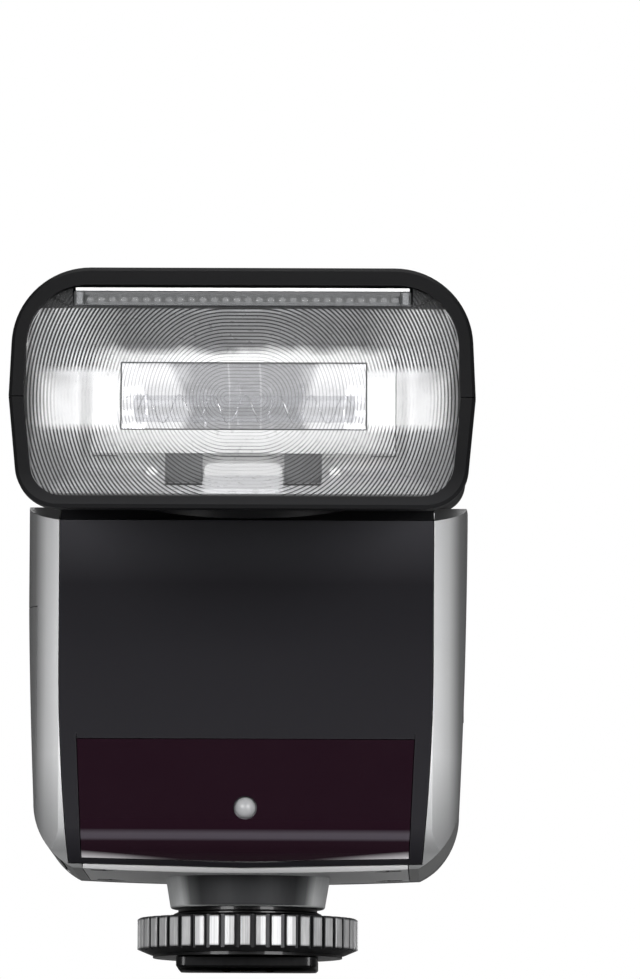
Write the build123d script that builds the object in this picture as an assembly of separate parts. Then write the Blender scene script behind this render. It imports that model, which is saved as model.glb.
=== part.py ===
from build123d import *
import math
import os

# Compact speedlight flash for a camera hot shoe, in millimetres.
# Frame: +Z up, +X to the right seen from the front, the lens faces -Y.
# Origin: centre of the foot's underside, where it rests on the floor of a hot shoe.
# Round limits far outside a piece (such as 30, 40 or 70) only carry a cutter past it.

# ------------------------------------------------------------------ driving dimensions
SEAM = 0.12            # visible gap at a parting line
WALL = 2.0             # wall of the lower body
BODY_D = 19.0          # half depth of the lower body
PANEL_W = 24.6         # half width of the front cover and the top deck
TOP_Z = 60.8           # flat top of the lower body
FRONT_TOP_Z = 58.4     # top edge of the front cover
REAR_Y = 13.4          # parting plane of the rear cover
REAR_TOP_Z = 58.6      # top edge of the rear cover
BOTTOM_W = 21.4        # half width of the bottom cover
BOTTOM_TOP_Z = 14.4

STEM_R = 8.0           # foot stem inside the body
BORE_R = STEM_R + 0.05
DISC_R = 17.4          # disc of the pan turret
PIVOT_Z = 74.5         # tilt axis height, above the pan axis
HEAD_R = 13.3          # rear rounding of the head about the tilt axis
SEAM_Z = 71.7          # parting line of the two head shells
LENS_Y = -50.0         # front of the bezel


# ------------------------------------------------------------------ helpers
def box(x0, x1, y0, y1, z0, z1):
    return Pos((x0 + x1) / 2, (y0 + y1) / 2, (z0 + z1) / 2) * Box(x1 - x0, y1 - y0, z1 - z0)


def cyl_x(radius, x0, x1, y, z):
    return Pos((x0 + x1) / 2, y, z) * Cylinder(radius, x1 - x0, rotation=(0, 90, 0))


def cyl_y(radius, y0, y1, x, z):
    return Pos(x, (y0 + y1) / 2, z) * Cylinder(radius, y1 - y0, rotation=(90, 0, 0))


def cyl_z(radius, z0, z1, x=0.0, y=0.0):
    return Pos(x, y, (z0 + z1) / 2) * Cylinder(radius, z1 - z0)


def cone_z(low_r, high_r, z0, z1, x=0.0, y=0.0):
    return Pos(x, y, (z0 + z1) / 2) * Cone(low_r, high_r, z1 - z0)


def on_y(sketch, y):
    """Stands a sketch up at y: its x is +X, its y is +Z, its normal is -Y."""
    return Plane((0, y, 0), x_dir=(1, 0, 0), z_dir=(0, -1, 0)) * sketch


def prism_yz(sketch, x0, x1):
    plane = Plane((0, 0, 0), x_dir=(0, 1, 0), z_dir=(1, 0, 0))
    return Pos(x0, 0, 0) * extrude(plane * sketch, amount=x1 - x0)


def prism_xz(sketch, y0, y1):
    return Pos(0, y1, 0) * extrude(on_y(sketch, 0), amount=y1 - y0)


def prism_xy(sketch, z0, z1):
    return Pos(0, 0, z0) * extrude(sketch, amount=z1 - z0)


def rounded(x, y, width, height, radius):
    return Pos(x, y) * RectangleRounded(width, height, radius)


def pad(x, z, width, height, radius, y0, y1):
    """A rounded rectangle seen from the front, from y0 to y1."""
    return prism_xz(rounded(x, z, width, height, radius), y0, y1)


def poly(points):
    return make_face(Polyline(*points, close=True))


def lathe(points):
    """Revolves (radius, z) points about Z."""
    return revolve(Plane.XZ * poly(points), axis=Axis.Z, revolution_arc=360)


def path(start, *steps):
    """Edges from start; a step is (end) for a line or (middle, end) for an arc, flattened."""
    edges = []
    for step in steps:
        end = step[-2:]
        line = Line(start, end) if len(step) == 2 else ThreePointArc(start, step[:2], end)
        edges.append(line.edge())
        start = end
    return edges


def mirrored_face(*points):
    """A face from the path of its x >= 0 half, mirrored."""
    edges = path(*points)
    return make_face(Wire(edges + [edge.mirror(Plane.YZ) for edge in edges]))


def toothed(count, tooth):
    """A toothed face; tooth lists (fraction of the pitch, radius)."""
    pitch = 2 * math.pi / count
    points = []
    for i in range(count):
        for fraction, radius in tooth:
            angle = (i + fraction) * pitch
            points.append((radius * math.cos(angle), radius * math.sin(angle)))
    return poly(points)


def side_pin(side, y, z, *sections):
    """Two coaxial cylinders (radius, inner x, outer x) on the side -1 or 1."""
    first, second = [
        cyl_x(radius, *sorted((side * inner, side * outer)), y, z)
        for radius, inner, outer in sections
    ]
    return first + second


def solids_of(shape):
    return [s for s in shape.solids() if s.volume > 0.02]


nodes = {}


def put(name, shape):
    """Keeps the solids of a shape, or the first solid of each in a tuple, as the named piece."""
    if isinstance(shape, tuple):
        solids = [solids_of(member)[0] for member in shape]
    else:
        solids = solids_of(shape)
    if not solids:
        raise ValueError("no solid in " + name)
    nodes[name] = solids[0] if len(solids) == 1 else Compound(children=solids)


# ------------------------------------------------------------------ lower body envelope
def body_section(inset):
    """Outline from above."""
    return mirrored_face(
        (0, -BODY_D + inset),
        (PANEL_W, -BODY_D + inset),
        (27.6 - 0.85 * inset, -15.8 + 0.55 * inset, 28.95 - inset, -10.5),
        (29.1 - inset, 0.0, 28.8 - inset, 12.5),
        (27.1 - 0.75 * inset, 16.9 - 0.65 * inset, 22.4, 18.75 - inset),
        (0, BODY_D - inset),
    )


def body_front(inset):
    """Outline from the front."""
    return mirrored_face(
        (0, 66),
        (29.2 - inset, 66),
        (29.1 - inset, 60),
        (28.75 - inset, 40, 28.05 - inset, 21.5),
        (26.6 - 0.85 * inset, 16.25 + 0.5 * inset, 22.8 - 0.4 * inset, 12.7 + 0.95 * inset),
        (11.4, 12.25 + inset, 0, 12.1 + inset),
    )


def body_side(inset):
    """Outline from the side, in Y and Z."""
    return make_face(Wire(path(
        (-BODY_D + inset, 18.4),
        (-BODY_D + inset, FRONT_TOP_Z - inset),
        (-10.5, TOP_Z - inset),
        (15.6, TOP_Z - inset),
        (18.1 - 0.7 * inset, 59.7 - 0.7 * inset, 19.1 - inset, 57.2),
        (19.1 - inset, 17.0),
        (17.9 - 0.7 * inset, 13.9 + 0.7 * inset, 14.9, 12.0 + inset),
        (-15.0, 12.0 + inset),
        (-18.1 + 0.75 * inset, 14.7 + 0.65 * inset, -BODY_D + inset, 18.4),
    )))


def body_envelope(inset):
    """The lower body's outside, moved in by inset."""
    return (
        prism_xy(body_section(inset), 5, 70)
        & prism_xz(body_front(inset), -30, 30)
        & prism_yz(body_side(inset), -40, 40)
    )


body_out = body_envelope(0)
body_in = body_envelope(WALL)
body_skinned = body_envelope(1.2)
skin = body_out - body_skinned
shell = body_out - body_in


def panel_outline(gap):
    """Outline of the front cover in X and Z, wider by gap."""
    top = FRONT_TOP_Z + 0.02 + gap
    return mirrored_face(
        (0, top),
        (PANEL_W + gap, top),
        (PANEL_W + gap, 38.0),
        (24.1 + gap, 24.0, 23.2 + gap, 13.3 - gap),
        (0, 12.75 - gap),
    )


def split_shell():
    """Blanks of the rear, top, bottom, left and right walls, parted by seams."""
    rest = shell - prism_xz(panel_outline(SEAM), -30, -15.5)
    rear = rest & box(-40, 40, REAR_Y, 30, 0, REAR_TOP_Z)
    rest = rest - box(-40, 40, REAR_Y - SEAM, 30, 0, REAR_TOP_Z + SEAM)
    top = rest & box(-PANEL_W, PANEL_W, -30, 30, 56.2, 70)
    rest = rest - box(-PANEL_W - SEAM, PANEL_W + SEAM, -30, 30, 56.2 - SEAM, 70)
    bottom = rest & box(-BOTTOM_W, BOTTOM_W, -30, 30, 5, BOTTOM_TOP_Z)
    side_x = BOTTOM_W + SEAM
    rest = rest - box(-side_x, side_x, -30, 30, 5, BOTTOM_TOP_Z + SEAM)
    rest = rest - box(-side_x, side_x, -30, 30, 0, 55)
    left = rest & box(-40, -15, -30, 30, 0, 70)
    right = rest & box(15, 40, -30, 30, 0, 70)
    return rear, top, bottom, left, right


rear_blank, top_blank, bottom_blank, left_blank, right_blank = split_shell()

# ------------------------------------------------------------------ front cover and its window
SENSOR = (0.0, 20.5)   # x and z
WINDOW_TOP = 29.5
LAMP_Z = 23.4


def window_zone(gap):
    """The dark red window's zone, wider by gap."""
    outline = mirrored_face(
        (0, WINDOW_TOP + gap),
        (22.2 + gap, WINDOW_TOP + gap),
        (21.5 + gap, 13.95 - gap),
        (0, 13.5 - gap),
    )
    return prism_xz(outline, -30, -14)


def front_cover():
    cover = shell & prism_xz(panel_outline(0), -30, -15.6)
    cover = cover - (skin & window_zone(SEAM))
    opening = mirrored_face((0, 28.8), (20.8, 28.8), (20.2, 17.2), (0, 17.2))
    cover = cover - prism_xz(opening, -18.2, -14)
    # fine tick grooves that continue the window's side edges
    for x0, x1 in ((-22.35, -22.2), (22.2, 22.35)):
        cover = cover - box(x0, x1, -19.2, -18.8, WINDOW_TOP, WINDOW_TOP + 0.8)
    return cover


def ir_window():
    return (skin & window_zone(0)) - cyl_y(1.55, -25, -10, *SENSOR)


def optic_sensor():
    """Domed sensor behind the hole in the window."""
    radius = 1.38
    dome = cyl_y(radius, -18.6, -16.4, *SENSOR)
    dome = dome + (Pos(SENSOR[0], -18.35, SENSOR[1]) * Sphere(radius))
    dome = dome + cyl_y(1.5, -17.4, -16.4, *SENSOR)
    return dome & box(-5, 5, -19.75, -16.2, 10, 30)


def focus_lamp_board():
    board = box(-19, 19, -16.15, -15.75, 18.2, 28.2)
    for x in (-17.6, 17.6):
        board = board - cyl_y(0.9, -20, -10, x, 26.9)
    for x in (-11.5, 11.5):
        board = board + cyl_y(2.5, -17.2, -16.0, x, LAMP_Z)
    return board


# ------------------------------------------------------------------ top deck and bottom cover
CASE_SCREWS = [(-18.7, -12.6), (18.7, -12.6), (-18.7, 10.6), (18.7, 10.6)]


def top_deck():
    """Top wall with the seat of the pan turret."""
    seat = cyl_z(18.4, 56.9, 58.9) & body_in & box(-30, 30, -30, 13.2, 50, 60)
    deck = top_blank + seat + cyl_z(10.4, 53.6, 57.2)
    return deck - cyl_z(DISC_R + 0.15, 58.7, 65) - cyl_z(8.3, 50, 66)


def bottom_cover():
    cover = bottom_blank - cyl_z(BORE_R, 5, 20)
    boss_zone = body_envelope(0.4)
    for x, y in CASE_SCREWS:
        cover = cover + (cyl_z(2.6, 12.4, 15.6, x, y) & boss_zone)
        cover = cover - cyl_z(1.95, 5, 13.6, x, y) - cyl_z(0.95, 5, 20, x, y)
    return cover


def case_screw(x, y):
    """Cross-head screw, head below and shank going up."""
    head_z, head_h, shank = 12.55, 1.0, 2.4
    neck_z = head_z + head_h
    screw = cyl_z(1.75, head_z, neck_z, x, y) + cyl_z(0.9, neck_z, neck_z + shank, x, y)
    for half_x, half_y in ((1.0, 0.2), (0.2, 1.0)):
        screw = screw - box(x - half_x, x + half_x, y - half_y, y + half_y,
                            head_z - 0.1, head_z + 0.5)
    return screw


def case_screws():
    return tuple(case_screw(x, y) for x, y in CASE_SCREWS)


# ------------------------------------------------------------------ foot
FOOT_W, FOOT_L, FOOT_T = 18.6, 18.0, 1.5      # hot-shoe foot plate
RAIL_NECK_W, RAIL_NECK_L = 12.2, 16.0         # stem part between the shoe's rails
RAIL_NECK_R = 1.5
THREAD_R, THREAD_DEPTH, THREAD_PITCH = 9.85, 0.6, 1.0
THREAD_Z0, THREAD_TURNS = 3.8, 4
COLLAR_Z0 = 8.1
RING_R, RING_TEETH = 14.65, 44
RING_Z0, RING_Z1 = 1.97, 6.8
WASHER_R, WASHER_Z0, WASHER_T = 12.6, 1.55, 0.4
PINS = [(0, 0, 1.3), (-2.9, 3.0, 0.6), (2.9, 3.0, 0.6),
        (-2.9, -2.2, 0.6), (2.9, -2.2, 0.6)]  # x, y, radius


def foot_collar():
    collar = cone_z(10.25, 11.05, COLLAR_Z0, 12.9) - cyl_z(BORE_R, 5, 15)
    collar = collar - body_out
    low_circles = collar.edges().filter_by(GeomType.CIRCLE).group_by(Axis.Z)[0]
    return fillet(low_circles.sort_by(SortBy.RADIUS)[-1:], 0.35)


def foot_stem():
    """Hollow stem with thread ridges, closed rings at the thread's pitch."""
    root = THREAD_R - THREAD_DEPTH
    points = [(0, THREAD_Z0), (root, THREAD_Z0)]
    for i in range(THREAD_TURNS):
        z = THREAD_Z0 + i * THREAD_PITCH
        points += [(root, z + 0.14), (THREAD_R, z + 0.42), (THREAD_R, z + 0.58), (root, z + 0.86)]
    points += [(root, 8.05), (STEM_R, 8.05), (STEM_R, 15.2), (0, 15.2)]
    neck = prism_xy(rounded(0, 0, RAIL_NECK_W, RAIL_NECK_L, RAIL_NECK_R),
                    FOOT_T, THREAD_Z0 + 0.05)
    return lathe(points) + neck - cyl_z(5.4, 1.0, 14.0) - cyl_z(3.0, 13.0, 16.0)


def foot_plate():
    plate = prism_xy(rounded(0, 0, FOOT_W, FOOT_L, 1.4), 0, FOOT_T)
    plate = chamfer(plate.edges().group_by(Axis.Z)[0], 0.25)
    plate = chamfer(plate.edges().group_by(Axis.Z)[-1], 0.18)
    for x, y, radius in PINS:
        plate = plate - cyl_z(radius + 0.06, -1, 3, x, y)
    return plate


def contact_pins():
    return tuple(
        cone_z(radius - 0.15, radius, -0.12, 0.05, x, y)
        + cyl_z(radius, 0.05, 2.7, x, y)
        + cyl_z(radius + 0.35, 1.85, 2.45, x, y)
        for x, y, radius in PINS
    )


def lock_washer():
    hole = rounded(0, 0, RAIL_NECK_W + 0.16, RAIL_NECK_L + 0.16, RAIL_NECK_R + 0.05)
    return prism_xy(Circle(WASHER_R), WASHER_Z0, WASHER_Z0 + WASHER_T) - prism_xy(hole, 0, 5)


def lock_ring():
    """Knurled ring: straight teeth, chamfered top, tapered underside."""
    valley = RING_R - 0.62
    tooth = ((-0.29, RING_R), (0.0, RING_R + 0.02), (0.29, RING_R), (0.38, valley), (0.62, valley))
    ring = prism_xy(toothed(RING_TEETH, tooth), RING_Z0, RING_Z1)
    ring = ring & lathe([(0, RING_Z0), (13.0, RING_Z0), (14.85, 2.75),
                         (14.85, 6.5), (14.35, RING_Z1), (0, RING_Z1)])
    return ring - cyl_z(THREAD_R + 0.06, 0, 10) - cone_z(10.2, 11.6, 6.2, 6.85)


# ------------------------------------------------------------------ rear controls
LCD_X, LCD_Z, LCD_W, LCD_H = 0.0, 46.9, 37.6, 18.4
LCD_Y = 17.9                # floor of the display window's recess
GLASS_Z = 47.1              # middle of the display module's raised part
CONTROL_X = 17.3            # the two control columns at -x and +x
CONTROL_ROWS = (31.6, 25.2, 18.9)
BUTTON_W, BUTTON_H = 7.4, 4.2
BUTTONS = {                 # x, z
    "mode_button": (-CONTROL_X, CONTROL_ROWS[0]),
    "zoom_button": (-CONTROL_X, CONTROL_ROWS[1]),
    "wireless_button": (CONTROL_X, CONTROL_ROWS[0]),
    "sync_button": (CONTROL_X, CONTROL_ROWS[1]),
}
TEST = (-CONTROL_X, CONTROL_ROWS[2])
SWITCH = (CONTROL_X, CONTROL_ROWS[2])
KNOB_X = SWITCH[0] - 2.0
DIAL = (0.0, 25.6)
DIAL_TEETH = 40
FLANGE_Y0, FLANGE_Y1 = 15.95, 16.5   # flanges that hold the buttons in
CAP_Y0 = 16.1


def lcd_window():
    return pad(LCD_X, LCD_Z, LCD_W - 0.16, LCD_H - 0.16, 1.5, LCD_Y, 19.02)


def lcd_module():
    return pad(0, GLASS_Z, 33.2, 14.2, 0.7, 15.4, 17.8) + pad(0, LCD_Z, 36.5, 17.2, 0.8, 13.2, 16.4)


def round_rear(cap, radius):
    return fillet(cap.edges().group_by(Axis.Y)[-1], radius)


def button(x, z):
    cap = round_rear(pad(x, z, BUTTON_W, BUTTON_H, 1.4, CAP_Y0, 19.75), 0.45)
    return cap + pad(x, z, BUTTON_W + 1.2, BUTTON_H + 1.2, 1.9, FLANGE_Y0, FLANGE_Y1)


def test_button():
    cap = round_rear(cyl_y(2.6, CAP_Y0, 19.7, *TEST), 0.5)
    return cap + cyl_y(3.2, FLANGE_Y0, FLANGE_Y1, *TEST)


def dial_lathe(points):
    """Revolves (radius, y) points about the dial's axis."""
    return Pos(DIAL[0], 0, DIAL[1]) * Rot(-90, 0, 0) * lathe(points)


def select_dial():
    tooth = ((-0.25, 9.2), (0.25, 9.2), (0.42, 8.9), (0.58, 8.9))
    dial = Pos(DIAL[0], 0, DIAL[1]) * prism_xz(toothed(DIAL_TEETH, tooth), 17.7, 20.6)
    dial = dial & dial_lathe([(0, 17.7), (9.3, 17.7), (9.3, 20.1), (8.7, 20.6), (0, 20.6)])
    dial = dial + cyl_y(6.05, 16.0, 17.75, *DIAL)
    dish = dial_lathe([(0, 20.0), (5.2, 20.0), (7.4, 21.2), (0, 21.2)])
    return dial - cyl_y(4.75, 15, 25, *DIAL) - dish


def set_button():
    cap = round_rear(cyl_y(4.6, 16.2, 20.25, *DIAL), 0.5)
    return cap + cyl_y(5.3, 15.75, 15.95, *DIAL) + cyl_y(4.6, 15.9, 16.3, *DIAL)


def power_switch():
    """Sliding knob with three grooves."""
    z = SWITCH[1]
    knob = pad(KNOB_X, z, 4.6, 3.1, 0.7, 17.5, 19.6)
    for shift in (-1.2, 0.0, 1.2):
        x = KNOB_X + shift
        knob = knob - box(x - 0.2, x + 0.2, 19.25, 20, 16, 22)
    return knob + pad(KNOB_X, z, 2.6, 1.7, 0.4, 15.9, 17.6)


def control_board():
    board = box(-22.5, 22.5, 14.45, 15.3, 15.6, 35.6)
    for x, z in [*BUTTONS.values(), TEST]:
        board = board + cyl_y(1.5, 15.2, 15.5, x, z)
    return board + box(-6, 6, 13.6, 14.5, 31.8, 35.0)


def rear_cover():
    """Rear wall, thickened behind the controls and pierced for each of them."""
    cover = rear_blank + (box(-21, 21, 16.6, 19.0, 15.5, 57.6) & body_out)
    cover = cover - pad(LCD_X, LCD_Z, LCD_W, LCD_H, 1.6, LCD_Y, 25)
    cover = cover - pad(0, GLASS_Z, 33.4, 14.4, 0.8, 10, 25)
    for x, z in BUTTONS.values():
        cover = cover - pad(x, z, BUTTON_W + 0.3, BUTTON_H + 0.3, 1.55, 10, 25)
    cover = cover - cyl_y(2.75, 10, 25, *TEST)
    cover = cover - cyl_y(9.45, 17.6, 25, *DIAL) - cyl_y(6.2, 10, 25, *DIAL)
    cover = cover - pad(*SWITCH, 9.4, 3.4, 0.9, 17.4, 25) - pad(*SWITCH, 7.0, 1.9, 0.5, 10, 25)
    return cover - barrel_groove() - hinge_bore()


# ------------------------------------------------------------------ battery bay
CELL_R, CELL_L = 7.1, 49.2
CELLS = [(-8.0, 24.4), (6.3, 24.4)]   # y and z of the front and the rear cell
CELL_X0 = -24.95
CELL_X1 = CELL_X0 + CELL_L
TERMINAL_R, TERMINAL_L = 2.7, 1.1
COIL_RINGS = [(2.7, 25.1), (2.3, 24.8), (1.9, 24.5), (1.6, 24.3)]   # outer radius, x


def aa_cell(y, z, terminal_x0, terminal_x1):
    cell = cyl_x(CELL_R, CELL_X0, CELL_X1, y, z)
    cell = fillet(cell.edges().filter_by(GeomType.CIRCLE), 0.4)
    return cell + cyl_x(TERMINAL_R, terminal_x0, terminal_x1, y, z)


def aa_cells():
    """The front cell's terminal points to +X, the rear one's to -X."""
    return (
        aa_cell(*CELLS[0], CELL_X1 - 0.01, CELL_X1 + TERMINAL_L),
        aa_cell(*CELLS[1], CELL_X0 - TERMINAL_L, CELL_X0 + 0.01),
    )


def battery_tray():
    tray = box(-25.4, 26.2, -15.6, 13.9, 15.4, 29.0)
    end_x = CELL_X1 + 0.1
    radius = CELL_R + 0.1
    for y, z in CELLS:
        tray = tray - cyl_x(radius, -30, end_x, y, z)
        tray = tray - box(-30, end_x, y - radius, y + radius, z, 40)
        tray = tray - cyl_x(2.85, 20, 30, y, z)
    tray = tray - box(-30, end_x, -8, 6, 26.5, 40)
    tray = tray - cyl_z(8.2, 10, 16.0)
    tray = tray & body_in
    tray = tray - cyl_z(2.9, 10, 40, *HINGE)
    for x, y in CASE_SCREWS:
        tray = tray - cyl_z(2.7, 10, 16.6, x, y)
    return tray


def bay_contacts():
    """Flat contact for the front cell, ringed spring for the rear one."""
    flat, coil = [cyl_x(2.8, 25.4, 25.7, *cell) for cell in CELLS]
    for radius, x in COIL_RINGS:
        ring = cyl_x(radius, x, x + 0.32, *CELLS[1])
        coil = coil + (ring - cyl_x(radius - 0.5, x - 1, x + 1, *CELLS[1]))
    return flat, coil


# ------------------------------------------------------------------ battery door, left side
DOOR_Y0, DOOR_Y1, DOOR_Z0, DOOR_Z1 = -15.6, 11.4, 13.2, 47.2
HINGE = (-27.1, 12.95)            # x and y of the hinge axis
HINGE_X, HINGE_Y = HINGE
BARREL_R, BARREL_Z0, BARREL_Z1 = 1.62, 23.4, DOOR_Z1
DOOR_DROP = 2.6                   # the door slides down by up to this much
GROOVE_Z0 = BARREL_Z0 - DOOR_DROP
RIB_Z0, RIB_PITCH, RIB_COUNT = 21.0, 1.75, 9


def battery_door():
    zone = box(-40, -24.6, DOOR_Y0, HINGE_Y, DOOR_Z0, DOOR_Z1)
    door = (body_out - body_envelope(1.3)) & zone
    door = door - box(-40, -20, DOOR_Y1, 20, 0, BARREL_Z0)
    door = door + (cyl_z(BARREL_R, BARREL_Z0, BARREL_Z1, *HINGE) & body_envelope(0.02))
    grip = Part()
    for i in range(RIB_COUNT):
        rise = RIB_PITCH * i
        grip = grip + cyl_y(0.42, -8.0, 7.0, -27.86 - 0.0386 * rise, RIB_Z0 + rise)
    door = door + (grip - body_envelope(0.6))
    for y in (-8.2, 6.0):
        door = door + box(-27.6, -26.58, y - 1.2, y + 1.2, 22.6, 26.2)
    door = door - cyl_z(0.76, 5, 60, *HINGE)
    # below the barrel the door's edge is rounded about the hinge axis, to swing clear of the wall
    return door - cyl_z(1.82, 5, BARREL_Z0, *HINGE)


def barrel_groove():
    """Room for the hinge barrel, open to the outside and long enough for the door to drop."""
    z1 = BARREL_Z1 + SEAM
    groove = cyl_z(BARREL_R + 0.13, GROOVE_Z0, z1, *HINGE)
    return groove + box(-40, HINGE_X, DOOR_Y1 - 0.1, HINGE_Y + 1.95, GROOVE_Z0, z1)


def hinge_bore():
    return cyl_z(0.78, 19.2, 51.2, *HINGE)


def left_side_shell():
    rear_y = REAR_Y - SEAM
    # material behind and below the hinge barrel
    backing = (
        cyl_z(BARREL_R + 0.9, GROOVE_Z0, 51.0, *HINGE)
        & box(HINGE_X - 0.35, 0, 0, rear_y, 0, 70)
    ) & body_skinned
    backing = backing - box(-25.2, 0, 0, 20, 0, 32.0)
    backing = backing + (
        cyl_z(1.7, 18.8, GROOVE_Z0, *HINGE) & body_skinned & box(-40, -25.2, 0, rear_y, 0, 70)
    )
    recess_zone = box(-40, -24.0, DOOR_Y0 - SEAM, DOOR_Y1 + SEAM, 5, DOOR_Z1 + SEAM)
    recess = (body_out - body_envelope(1.45)) & recess_zone
    side = left_blank + backing
    side = side - recess - barrel_groove()
    # opening behind the door for the two cells
    side = side - box(-40, -20, -15.25, 10.6, 16.6, 32.0)
    return side - hinge_bore()


def door_hinge_rod():
    return cyl_z(0.7, 22.0, 50.2, *HINGE)


def door_contact_strap():
    return box(-26.58, -26.3, -10.6, 8.6, 21.4, 27.4)


# ------------------------------------------------------------------ covered socket, right side
USB_Y, USB_Z = 1.0, 36.0
COVER_HALF_L, COVER_HALF_H = 4.55, 3.15
COVER_HINGE = (28.12, USB_Y - COVER_HALF_L)   # x and y


def right_side_shell():
    side = right_blank - box(20, 26.5, -13.2, 11.6, 17.4, 30.4)
    hinge_x, hinge_y = COVER_HINGE
    z0, z1 = USB_Z - 3.3, USB_Z + 3.3
    side = side - box(20, 40, hinge_y, USB_Y + 4.7, z0, z1)
    side = side - cyl_z(0.62, z0, z1, *COVER_HINGE)
    return side - box(hinge_x, 40, hinge_y - 0.62, USB_Y, z0, z1)


def socket_cover():
    z0, z1 = USB_Z - COVER_HALF_H, USB_Z + COVER_HALF_H
    cover = (body_out - body_envelope(1.1)) & box(
        20, 40, COVER_HINGE[1], USB_Y + COVER_HALF_L, z0, z1)
    cover = cover + cyl_z(0.54, z0, z1, *COVER_HINGE)
    return cover + prism_yz(rounded(USB_Y, USB_Z, 6.2, 1.7, 0.8), 26.0, 27.8)


def usb_socket():
    outer = box(20.9, 25.9, USB_Y - 3.9, USB_Y + 3.9, USB_Z - 1.6, USB_Z + 1.6)
    return outer - box(21.4, 27, USB_Y - 3.5, USB_Y + 3.5, USB_Z - 1.2, USB_Z + 1.2)


# ------------------------------------------------------------------ power parts above the bay
CAPACITOR = (-5.8, 41.4)   # y and z


def main_capacitor():
    y, z = CAPACITOR
    can = cyl_x(9.2, -18.5, 18.5, y, z) + cyl_x(8.5, 18.4, 19.4, y, z)
    return can + cyl_x(0.45, 19.3, 22.0, y - 3, z) + cyl_x(0.45, 19.3, 22.0, y + 3, z)


def main_board():
    return box(-24.5, 24.5, 9.6, 10.8, 32.4, 51.4)


def step_up_transformer():
    return box(-23.6, -12.4, 5.2, 9.55, 32.6, 38.2) + box(-21.6, -14.4, 4.8, 5.3, 33.4, 37.4)


# ------------------------------------------------------------------ pan turret
DRUM_R = 11.3
DRUM_W = 12.1          # half width of the drum
SHAFT_R = 8.2
PIVOT_R = 2.5


def pan_turret():
    disc = cyl_z(DISC_R, 58.76, TOP_Z)
    disc = chamfer(disc.edges().group_by(Axis.Z)[-1], 0.25)
    shaft = cyl_z(SHAFT_R, 51.6, 59.0)
    neck = box(-11.6, 11.6, -9.0, 9.0, TOP_Z - 0.05, 68.0)
    neck = fillet(neck.edges().filter_by(Axis.Z), 1.6)
    drum = cyl_x(DRUM_R, -DRUM_W, DRUM_W, 0, PIVOT_Z)
    drum = chamfer(drum.edges().filter_by(GeomType.CIRCLE), 0.4)
    turret = disc + shaft + neck + drum
    turret = turret - cyl_z(5.0, 50, 68) - cyl_x(8.6, -9.9, 9.9, 0, PIVOT_Z)
    turret = turret - cyl_x(PIVOT_R + 0.06, -20, 20, 0, PIVOT_Z)
    return turret - (cyl_z(9, 52.3, 53.1) - cyl_z(7.6, 52.3, 53.1))


def turret_clip():
    """Open clip in the shaft's groove."""
    return (cyl_z(10.6, 52.35, 53.05) - cyl_z(7.65, 52, 54)) - box(-2.2, 2.2, -12, 0, 52, 54)


def turret_spring_washer():
    return cyl_z(11.8, 53.2, 53.5) - cyl_z(SHAFT_R + 0.2, 53, 54)


def flash_cable():
    return cyl_z(2.2, 52.0, 71.0)


# ------------------------------------------------------------------ head shells
HEAD_TOP = 88.45       # top and bottom of the bezel
HEAD_BOT = 57.3
FLARE_Y = -35.0        # where the head starts to widen towards the bezel
BEZEL_Y = -46.4        # back of the bezel's straight rim
SLOT_W = 12.4          # half width of the slot in the head


def head_outline(seam_x, top_x, low_x, top_z, low_z, top_r, low_r):
    """Front outline in X and Z: widest at the parting line, round corners."""
    face = poly([(seam_x, SEAM_Z), (top_x, top_z), (-top_x, top_z),
                 (-seam_x, SEAM_Z), (-low_x, low_z), (low_x, low_z)])
    face = fillet([v for v in face.vertices() if abs(v.Y - top_z) < 1e-6], top_r)
    return fillet([v for v in face.vertices() if abs(v.Y - low_z) < 1e-6], low_r)


def head_envelope(inset, front_y):
    """The head's outside, moved in by inset."""
    radius = HEAD_R - inset
    low_z, top_z = PIVOT_Z - radius, PIVOT_Z + radius
    main_face = head_outline(29.4 - inset, 28.9 - inset, 28.2 - inset,
                             top_z, low_z, 8.6 - inset, 4.8 - inset)
    bezel_face = head_outline(30.15 - inset, 29.35 - inset, 28.8 - inset,
                              HEAD_TOP - inset, HEAD_BOT + inset, 10.2 - inset, 5.5 - inset)
    profile = make_face(Wire(path(
        (FLARE_Y, low_z),
        (0, low_z),
        (radius, PIVOT_Z, 0, top_z),
        (FLARE_Y, top_z),
        (FLARE_Y, low_z),
    )))
    main = prism_xz(main_face, FLARE_Y, 20) & prism_yz(profile, -40, 40)
    flare = loft([on_y(main_face, FLARE_Y), on_y(bezel_face, BEZEL_Y)], ruled=True)
    return main + flare + prism_xz(bezel_face, front_y, BEZEL_Y)


def opening(gap):
    """The lens opening in the bezel, larger all round by gap."""
    return head_outline(28.25 + gap, 27.6 + gap, 27.0 + gap,
                        SEAM_Z + 14.5 + gap, SEAM_Z - 12.9 - gap, 8.0 + gap, 4.4 + gap)


def drum_slot(z0):
    """Slot at the rear and underside for the turret's neck and drum."""
    return box(-SLOT_W, SLOT_W, -9.5, 20, z0, PIVOT_Z + 9.5)


def is_bezel_edge(edge):
    """Whether an edge lies on the bezel's front plane, on its outer outline."""
    center = edge.center()
    if abs(center.Y - LENS_Y) >= 1e-4 or edge.bounding_box().size.Y >= 1e-4:
        return False
    x, z = abs(center.X), center.Z - SEAM_Z
    return x > 28.6 or z > 15.3 or z < -13.5 or (x > 27.2 and (z > 12 or z < -11))


def build_head_shell():
    head = head_envelope(0, LENS_Y) - head_envelope(1.7, LENS_Y + 2.3)
    head = head - prism_xz(opening(0), -60, LENS_Y + 2.4)
    head = head - drum_slot(50)
    # the chamfer can fail on the tapered corners; the bezel's edge then stays sharp
    try:
        return chamfer([edge for edge in head.edges() if is_bezel_edge(edge)], 0.45)
    except Exception:
        return head


head_shell = build_head_shell()
head_bay = head_envelope(1.75, LENS_Y + 2.4)   # limit of the parts inside the head


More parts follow.
